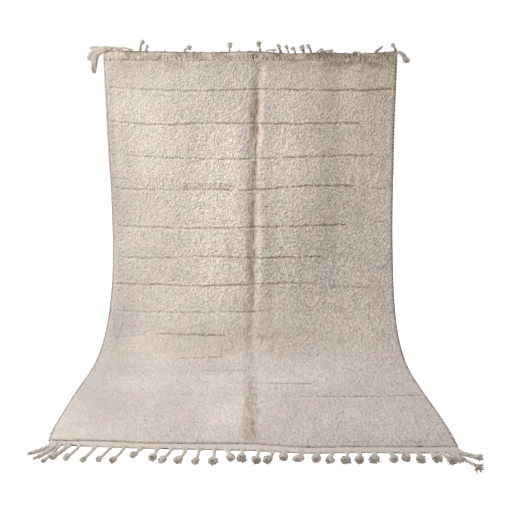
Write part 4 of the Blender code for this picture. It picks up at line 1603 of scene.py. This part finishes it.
@dataclass
class TasselMaker:
    """Twists stems, ties knots and frays ends, in places on the rug."""

    rng: np.random.Generator
    on_floor: bool
    weft: Weft = field(default_factory=Weft)
    steps: int = 14
    plies: int = 3
    twist_pitch: float = 0.060
    root_reach: float = 0.020
    yarn_sides: int = 6
    lock_sides: int = 4
    lock_steps: int = 5
    loops: int = 3
    loop_radius: float = 0.0078
    loop_yarn: float = 0.0050

    def draw(self, low: float, high: float) -> float:
        """A random number between two."""
        return float(self.rng.uniform(low, high))

    def curve(self, root: np.ndarray, control: np.ndarray, knot: np.ndarray) -> np.ndarray:
        """Points of a stem from its root to its knot."""
        share = np.linspace(0.0, 1.0, self.steps)[:, None]
        rest = 1.0 - share
        return root * rest**2 + control * 2.0 * rest * share + knot * share**2

    def stem(self, path: np.ndarray, size: float, spread: float, soil_and_shade: float) -> None:
        """Plied yarns that spread at the root.

        Args:
            path: The stem's middle line.
            size: Half the stem's thickness.
            spread: How far the yarns spread at the root.
            soil_and_shade: How dark the yarns are.
        """
        ways = unit(np.gradient(path, axis=0))
        side = unit(np.cross(ways, UP))
        up = np.cross(side, ways)
        length = np.concatenate(([0.0], np.cumsum(np.linalg.norm(np.diff(path, axis=0), axis=1))))
        start = self.draw(0.0, 2.0 * math.pi)
        near_root = bell(length / self.root_reach)
        reach = 0.48 * size
        for ply in range(self.plies):
            angle = start + 2.0 * math.pi * (ply / self.plies + length / self.twist_pitch)
            fan = (ply - 1) * spread * near_root
            line = path + side * (reach * np.cos(angle) + fan)[:, None]
            line += up * (reach * np.sin(angle) * (1.0 - 0.6 * near_root))[:, None]
            radius = 0.62 * size * (1.0 + 0.06 * np.sin(length * 900.0 + ply))
            radius = radius * (1.0 + 0.30 * near_root)
            if path[:, 2].min() >= 0.0:
                line[:, 2] = np.maximum(line[:, 2], radius)
            self.weft.add(strand(line, radius, self.yarn_sides), self.draw(-0.3, 0.3), soil_and_shade)

    def bundle(self, path: np.ndarray, spread: float, yarns: int, radius: float) -> None:
        """Untied yarns that fan out along a path and thin to their tips.

        Args:
            path: The bundle's middle line.
            spread: Half its width at the tip.
            yarns: How many yarns it has.
            radius: Their radius.
        """
        side = unit(np.cross(unit(np.gradient(path, axis=0)), UP))
        share = np.linspace(0.0, 1.0, len(path))
        taper = 1.0 - 0.65 * ease((share - 0.75) / 0.25)
        for number in range(yarns):
            lateral = (2.0 * (number + 0.5) / yarns - 1.0) + float(self.rng.normal(0.0, 0.06))
            outward = self.draw(-0.5, 0.5)
            fan = spread * (0.30 + 0.70 * ease(share / 0.8)) * lateral
            wave = 0.0010 * np.sin(share * self.draw(4.0, 9.0) + number)
            stop = self.draw(0.90, 1.0) - 0.10 * abs(lateral)
            line = path + side * (fan + wave)[:, None] + UP * (spread * 0.45 * outward)
            keep = np.linspace(0.0, stop, len(path))
            line = np.stack([np.interp(keep, share, line[:, axis]) for axis in range(3)], axis=1)
            form = strand(line, radius * taper * self.draw(0.85, 1.1), self.yarn_sides)
            soil_and_shade = np.repeat(0.20 + 0.24 * share, self.yarn_sides)
            self.weft.add(form, self.draw(-0.4, 0.4), soil_and_shade)

    def lock(
        self,
        root: Sequence[float],
        way: Sequence[float],
        length: float,
        radius: float,
        soil_and_shade: tuple[float, float],
    ) -> None:
        """Short tapered lock of yarn.

        Args:
            root: Where it starts.
            way: The way that it points.
            length: Its length.
            radius: Its radius at the root.
            soil_and_shade: How dark it is at the root and at the tip.
        """
        bend = self.rng.normal(0.0, 0.35, 3)
        share = np.linspace(0.0, 1.0, self.lock_steps)
        path = root + unit(np.asarray(way)) * (length * share)[:, None]
        path += bend * (length * 0.35 * share**2)[:, None]
        size = radius * (1.0 - 0.62 * share**1.5)
        if self.on_floor:
            path[:, 2] = np.maximum(path[:, 2], size)
        dark = np.repeat(soil_and_shade[0] + (soil_and_shade[1] - soil_and_shade[0]) * share, self.lock_sides)
        self.weft.add(strand(path, size, self.lock_sides), self.draw(-0.5, 0.5), dark)

    def ball(self, knot: np.ndarray, way: np.ndarray, size: float, wide: float) -> None:
        """Loops of yarn wound into a round knot.

        Args:
            knot: The knot's middle.
            way: The way that the stem comes in.
            size: The ball's size against an ordinary one.
            wide: How much wider the knot is than deep.
        """
        for turn in range(self.loops):
            tilt = way + self.rng.normal(0.0, 0.60, 3)
            middle = knot + way * (0.0036 * (turn - 1)) + self.rng.normal(0.0, 0.0010, 3)
            if self.on_floor:
                middle[2] = max(middle[2], 0.0108 * size)
            ring, faces = hoop(middle, tilt, self.loop_radius * size, self.loop_yarn * size)
            ring += self.rng.normal(0.0, 0.0005 * size, ring.shape)
            ring[:, 1] = knot[1] + (ring[:, 1] - knot[1]) * wide
            tone = self.draw(-0.35, 0.35)
            soil_and_shade = np.abs(self.rng.normal(0.0, 0.12, len(ring)))
            if self.on_floor:
                ring[:, 2] = np.maximum(ring[:, 2], 0.0)
                # painted shade on the knot's lower and front side
                low = np.clip((middle[2] - ring[:, 2]) / (0.012 * size) + 0.25, 0.0, 1.0)
                front = np.clip((ring[:, 0] - knot[0]) / (0.014 * size), 0.0, 1.0)
                soil_and_shade += 0.08 * low + 0.12 * front
            else:
                soil_and_shade += 0.22
            self.weft.add((ring, faces), tone, np.clip(soil_and_shade, 0.0, 1.0))

    def finish(self, path: np.ndarray, knot: np.ndarray, end: Knot, size: float, wide: float) -> None:
        """The knot and what frays out of it.

        Args:
            path: The stem's middle line.
            knot: The knot's middle.
            end: How the tassel ends.
            size: Its size against an ordinary one.
            wide: How much wider the knot is than deep.
        """
        kind = KNOTS[end]
        way = unit(path[-1] - path[-3])
        ball = kind.ball * size
        if ball > 0.0:
            self.ball(knot, way, ball, wide)
        for _ in range(kind.locks):
            spread = self.rng.normal(0.0, kind.flare, 3)
            heading = way + spread - way * spread.dot(way) * 0.5
            heading[2] *= 0.75
            start = knot + unit(heading) * (self.loop_radius * max(ball, 0.35))
            if ball == 0.0:
                start = start - way * self.draw(0.0, 0.018) * size
            reach = kind.length * size * self.draw(0.7, 1.2)
            self.lock(start, heading, reach, kind.radius * size, kind.soil_and_shade)


@dataclass
class Tassels:
    """All tassels of both ends, and the loose bundles at the upper corners."""

    form: RugForm
    floor_seed: int = 71
    edge_seed: int = 72

    def floor(self, material: bpy.types.Material) -> bpy.types.Object:
        """Tassels that lie level on the floor before the lower band."""
        maker = TasselMaker(np.random.default_rng(self.floor_seed), on_floor=True, steps=16)
        for tassel in FLOOR_TASSELS:
            level = float(self.form.lower_edge_at(np.array(tassel.root)))
            root = np.array((level - 0.004, tassel.root, 0.0035))
            knot = np.array((level + tassel.reach, tassel.knot, 0.0100))
            middle = tassel.root + 0.15 * (tassel.knot - tassel.root)
            control = np.array((level + 0.45 * tassel.reach, middle, 0.007))
            path = maker.curve(root, control, knot)
            maker.stem(path, tassel.thick, 0.0060, 0.0)
            maker.finish(path, knot, tassel.end, tassel.size, tassel.wide)
        return maker.weft.piece("tassels_floor", self.form, material)

    def edge(self, material: bpy.types.Material) -> bpy.types.Object:
        """Tassels on the upper edge: standing, lying over the front or fallen behind."""
        maker = TasselMaker(np.random.default_rng(self.edge_seed), on_floor=False)
        for tassel in EDGE_TASSELS:
            level = float(self.form.upper_edge_at(np.array(tassel.root)))
            lean = -0.012 if tassel.out < 0.0 else 0.5 * (tassel.out - 0.0025)
            root = np.array((level + 0.003, tassel.root, 0.0025))
            middle = tassel.root + 0.20 * (tassel.knot - tassel.root)
            control = np.array((level - tassel.arch, middle, 0.0025 + lean))
            knot = np.array((level - tassel.rise, tassel.knot, tassel.out))
            path = maker.curve(root, control, knot)
            standing = tassel.rise > 0.024 and tassel.end is not Knot.BLUNT
            lying = 0.32 + 0.20 * float(ease(np.array(tassel.root / 0.40)))
            maker.stem(path, tassel.thick, 0.0035, 0.75 if standing else lying)
            maker.finish(path, knot, tassel.end, tassel.size, 1.0)
        for bundle in CORNER_BUNDLES:
            level = float(self.form.upper_edge_at(np.array(bundle.root[0])))
            root = np.array((level - bundle.root[1] + 0.004, bundle.root[0], 0.004))
            control = np.array((level - bundle.control[1], bundle.control[0], 0.6 * bundle.out))
            tip = np.array((level - bundle.tip[1], bundle.tip[0], bundle.out))
            path = maker.curve(root, control, tip)
            maker.bundle(path, bundle.spread, bundle.yarns, bundle.radius)
            if bundle.knotted:
                maker.finish(path, path[-3], Knot.HAMMER, 1.10, 1.2)
        return maker.weft.piece("tassels_edge", self.form, material)


@dataclass(frozen=True)
class StraySpan:
    """Stretch of the upper band that pile ends lie over."""

    left: float
    right: float
    count: int
    longest: float
    brownest: float
    palest: float = 0.0


STRAY_SPANS = rows(
    StraySpan,
    (-0.485, -0.300, 70, 0.038, 0.30),
    (-0.220, 0.000, 80, 0.038, 0.30),
    (0.000, 0.140, 40, 0.030, 0.35),
    (0.340, 0.780, 210, 0.036, 0.85, 0.30),
    (-0.780, 0.770, 110, 0.020, 0.50),
)


@dataclass
class LooseYarns:
    """Pile ends that stray over the bands and over the overcast sides."""

    form: RugForm
    side: int = 240
    lower: int = 420
    seed: int = 73
    shortest: float = 0.008
    usual: float = 0.014

    def build(self, material: bpy.types.Material) -> bpy.types.Object:
        """All stray yarn ends as one piece."""
        maker = TasselMaker(np.random.default_rng(self.seed), on_floor=True)
        for span in STRAY_SPANS:
            for _ in range(span.count):
                self.over_upper_band(maker, span)
        for _ in range(self.lower):
            self.over_lower_band(maker)
        for turned in (0, 1):
            for _ in range(self.side):
                self.over_side(maker, turned)
        return maker.weft.piece("loose_yarns", self.form, material)

    def over_upper_band(self, maker: TasselMaker, span: StraySpan) -> None:
        """One pile end that lies over a stretch of the upper band."""
        across = maker.draw(span.left, span.right)
        along = self.form.pile_start + maker.draw(-0.004, 0.016)
        way = (-1.0, float(maker.rng.normal(0.0, 0.6)), 0.05)
        reach = maker.draw(0.5, 1.0) * span.longest
        brown = span.brownest * maker.draw(span.palest, 1.0) ** 1.5
        maker.lock((along, across, 0.0105), way, reach, 0.0040, (0.5 * brown, brown))

    def over_lower_band(self, maker: TasselMaker) -> None:
        """One pile end that lies over the lower band."""
        across = maker.draw(-0.775, 0.775)
        along = float(self.form.pile_end_at(np.array(across))) - 0.006
        way = (1.0, float(maker.rng.normal(0.0, 0.6)), -0.2)
        reach = maker.draw(self.shortest, self.usual)
        maker.lock((along, across, 0.0095), way, reach, 0.0032, (0.0, 0.1))

    def over_side(self, maker: TasselMaker, turned: int) -> None:
        """One pile end that lies over the left side, or over the right one when turned."""
        along = maker.draw(0.05, 2.53)
        edge = float(self.form.side_edges(np.array(along))[turned])
        outward = 1.0 if turned else -1.0
        across = edge - outward * (self.form.selvedge + 0.005)
        way = (0.6 + float(maker.rng.normal(0.0, 0.4)), outward, -0.25)
        reach = maker.draw(self.shortest, self.usual)
        maker.lock((along, across, 0.0110), way, reach, 0.0030, (0.05, 0.2))


# ---------------------------------------------------------------- the room
@dataclass(frozen=True)
class Lamp:
    """Soft square lamp aimed at a point: its side, and its power in watts."""

    name: str
    place: tuple[float, float, float]
    aim: tuple[float, float, float]
    size: float
    power: float
    colour: tuple[float, float, float] = (1.0, 0.99, 0.97)

    def hang(self) -> None:
        """Put the lamp in the room."""
        data = bpy.data.lights.new(self.name, "AREA")
        data.shape = "SQUARE"
        data.size = self.size
        data.energy = self.power
        data.color = self.colour
        way = np.array(self.aim) - np.array(self.place)
        tilt = math.atan2(math.hypot(way[0], way[1]), -way[2])
        turn = math.atan2(way[1], way[0]) - 0.5 * math.pi
        put(self.name, data, self.place, (tilt, 0.0, turn))


def put(
    name: str,
    data: bpy.types.ID,
    place: tuple[float, float, float],
    turn: tuple[float, float, float],
) -> bpy.types.Object:
    """An object in the room.

    Args:
        name: Its name.
        data: The lamp or camera that it carries.
        place: Where it stands.
        turn: Its rotation, in radians.

    Returns:
        The object.
    """
    obj = bpy.data.objects.new(name, data)
    bpy.context.scene.collection.objects.link(obj)
    obj.location = place
    obj.rotation_euler = turn
    return obj


@dataclass(frozen=True)
class Studio:
    """Pale floor, soft light, and the camera at the photograph's angle."""

    camera_place: tuple[float, float, float] = (0.012, -2.6586, 1.1767)
    camera_dip: float = 11.6
    camera_turn: float = -0.387
    lens: float = 41.64
    sensor: float = 36.0
    floor_size: float = 30.0
    floor_level: float = -0.0006
    sky_colour: Colour = (0.98, 0.99, 1.0, 1.0)
    sky_strength: float = 0.66
    lamps: tuple[Lamp, ...] = (
        Lamp("window", (-2.0, -0.4, 2.0), (0.2, 0.5, 0.9), 1.2, 31.0),
        Lamp("skylight", (-1.8, -0.8, 3.6), (0.0, 0.0, 0.3), 2.0, 21.0),
    )

    def floor(self) -> None:
        """The floor that the rug lies on."""
        bpy.ops.object.select_all(action="DESELECT")
        place = (0.0, 0.0, self.floor_level)
        bpy.ops.mesh.primitive_plane_add(size=self.floor_size, location=place)
        plane = bpy.context.active_object
        plane.name = "studio_floor"
        material = bpy.data.materials.new("pale_floor")
        shader = shader_of(material)
        for socket, value in (
            ("Base Color", (0.80, 0.80, 0.80, 1.0)),
            ("Roughness", 0.8),
            ("Specular IOR Level", 0.1),
            ("Emission Color", WHITE),
        ):
            shader.inputs[socket].default_value = value
        path = material.node_tree.nodes.new("ShaderNodeLightPath")
        seen = path.outputs["Is Camera Ray"]
        material.node_tree.links.new(seen, shader.inputs["Emission Strength"])
        plane.data.materials.append(material)

    def sky(self) -> None:
        """Even pale surroundings."""
        world = bpy.data.worlds.new("pale_room")
        world.use_nodes = True
        bpy.context.scene.world = world
        graph = Graph(world.node_tree)
        out = next(node for node in world.node_tree.nodes if node.type == "OUTPUT_WORLD")
        seen, light = (
            graph.add("ShaderNodeBackground", {"Color": colour, "Strength": strength}).outputs[0]
            for colour, strength in ((WHITE, 1.0), (self.sky_colour, self.sky_strength))
        )
        path = graph.add("ShaderNodeLightPath").outputs["Is Camera Ray"]
        both = graph.add("ShaderNodeMixShader", {0: path, 1: light, 2: seen})
        world.node_tree.links.new(both.outputs[0], out.inputs["Surface"])

    def camera(self) -> None:
        """The photograph's view."""
        data = bpy.data.cameras.new("photo_view")
        data.sensor_width = self.sensor
        data.lens = self.lens
        turn = (math.radians(90.0 - self.camera_dip), 0.0, math.radians(self.camera_turn))
        bpy.context.scene.camera = put("photo_view", data, self.camera_place, turn)

    def build(self) -> None:
        """Everything round the rug."""
        bpy.context.scene.view_settings.view_transform = "Standard"
        self.floor()
        self.sky()
        for lamp in self.lamps:
            lamp.hang()
        self.camera()


# ---------------------------------------------------------------- all together
PILE_WOOL = WoolFinish(
    name="pile_wool",
    warm=linear(228, 213, 204),
    pale=linear(226, 214, 205),
    cool=linear(221, 213, 203),
    # painted shade of the parted lines and of the pile's end
    shade=linear(138, 108, 92),
    soil_and_shade_colour=linear(150, 126, 94),
    patch_scale=9.0,
    fleck_scale=110.0,
    tone_reach=0.70,
    knap_rise=0.0056,
)
BAND_WOOL = WoolFinish(
    name="band_wool",
    warm=linear(222, 206, 196),
    pale=linear(219, 207, 197),
    cool=linear(210, 202, 190),
    soil_and_shade_colour=linear(124, 99, 70),
    fleck_scale=120.0,
    tone_reach=0.10,
)
TASSEL_WOOL = WoolFinish(
    name="tassel_wool",
    warm=linear(214, 200, 190),
    pale=linear(213, 203, 195),
    cool=linear(201, 195, 188),
    soil_and_shade_colour=linear(122, 101, 84),
    patch_scale=14.0,
    fleck_scale=160.0,
    fibre_scale=700.0,
    tone_reach=0.22,
)
STRAY_WOOL = WoolFinish(
    name="stray_wool",
    warm=linear(222, 207, 198),
    pale=linear(219, 208, 199),
    cool=linear(211, 204, 194),
    soil_and_shade_colour=linear(154, 128, 92),
    fleck_scale=160.0,
    fibre_scale=700.0,
    tone_reach=0.14,
)
OVERCAST_YARN = WoolFinish(
    name="overcast_yarn",
    warm=linear(196, 180, 172),
    pale=linear(200, 188, 180),
    cool=linear(186, 176, 168),
    soil_and_shade_colour=linear(92, 78, 68),
    fleck_scale=140.0,
    fibre_scale=700.0,
)
GROUND_WOOL = WoolFinish(
    name="ground_wool",
    warm=linear(214, 200, 184),
    pale=linear(216, 205, 190),
    cool=linear(204, 195, 180),
    soil_and_shade_colour=linear(150, 128, 108),
    bump=0.9,
    bump_reach=0.0030,
    weave_pitch=0.0090,
)


def main() -> None:
    """Build the room, then the rug piece by piece."""
    logging.basicConfig(level=logging.INFO, format="%(message)s")
    Studio().build()
    form = RugForm()
    ground = GroundCloth(form).build(GROUND_WOOL.make())
    pile = PileField(form).build(PILE_WOOL.make())
    band_wool = BAND_WOOL.make()
    upper = EndBand(form, upper=True).build(band_wool)
    lower = EndBand(form, upper=False).build(band_wool)
    yarn = OVERCAST_YARN.make()
    cords = TwinedCords(form).build(yarn)
    left = Overcast(form, right=False).build(yarn)
    right = Overcast(form, right=True).build(yarn)
    tassel_wool = TASSEL_WOOL.make()
    tassels = Tassels(form)
    edge = tassels.edge(tassel_wool)
    floor = tassels.floor(tassel_wool)
    strays = LooseYarns(form).build(STRAY_WOOL.make())

    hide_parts("pile_field")
    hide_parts("selvedge_left")
    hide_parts("selvedge_right")
    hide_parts("fringe_top")
    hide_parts("fringe_bottom")


if __name__ == "__main__":
    main()
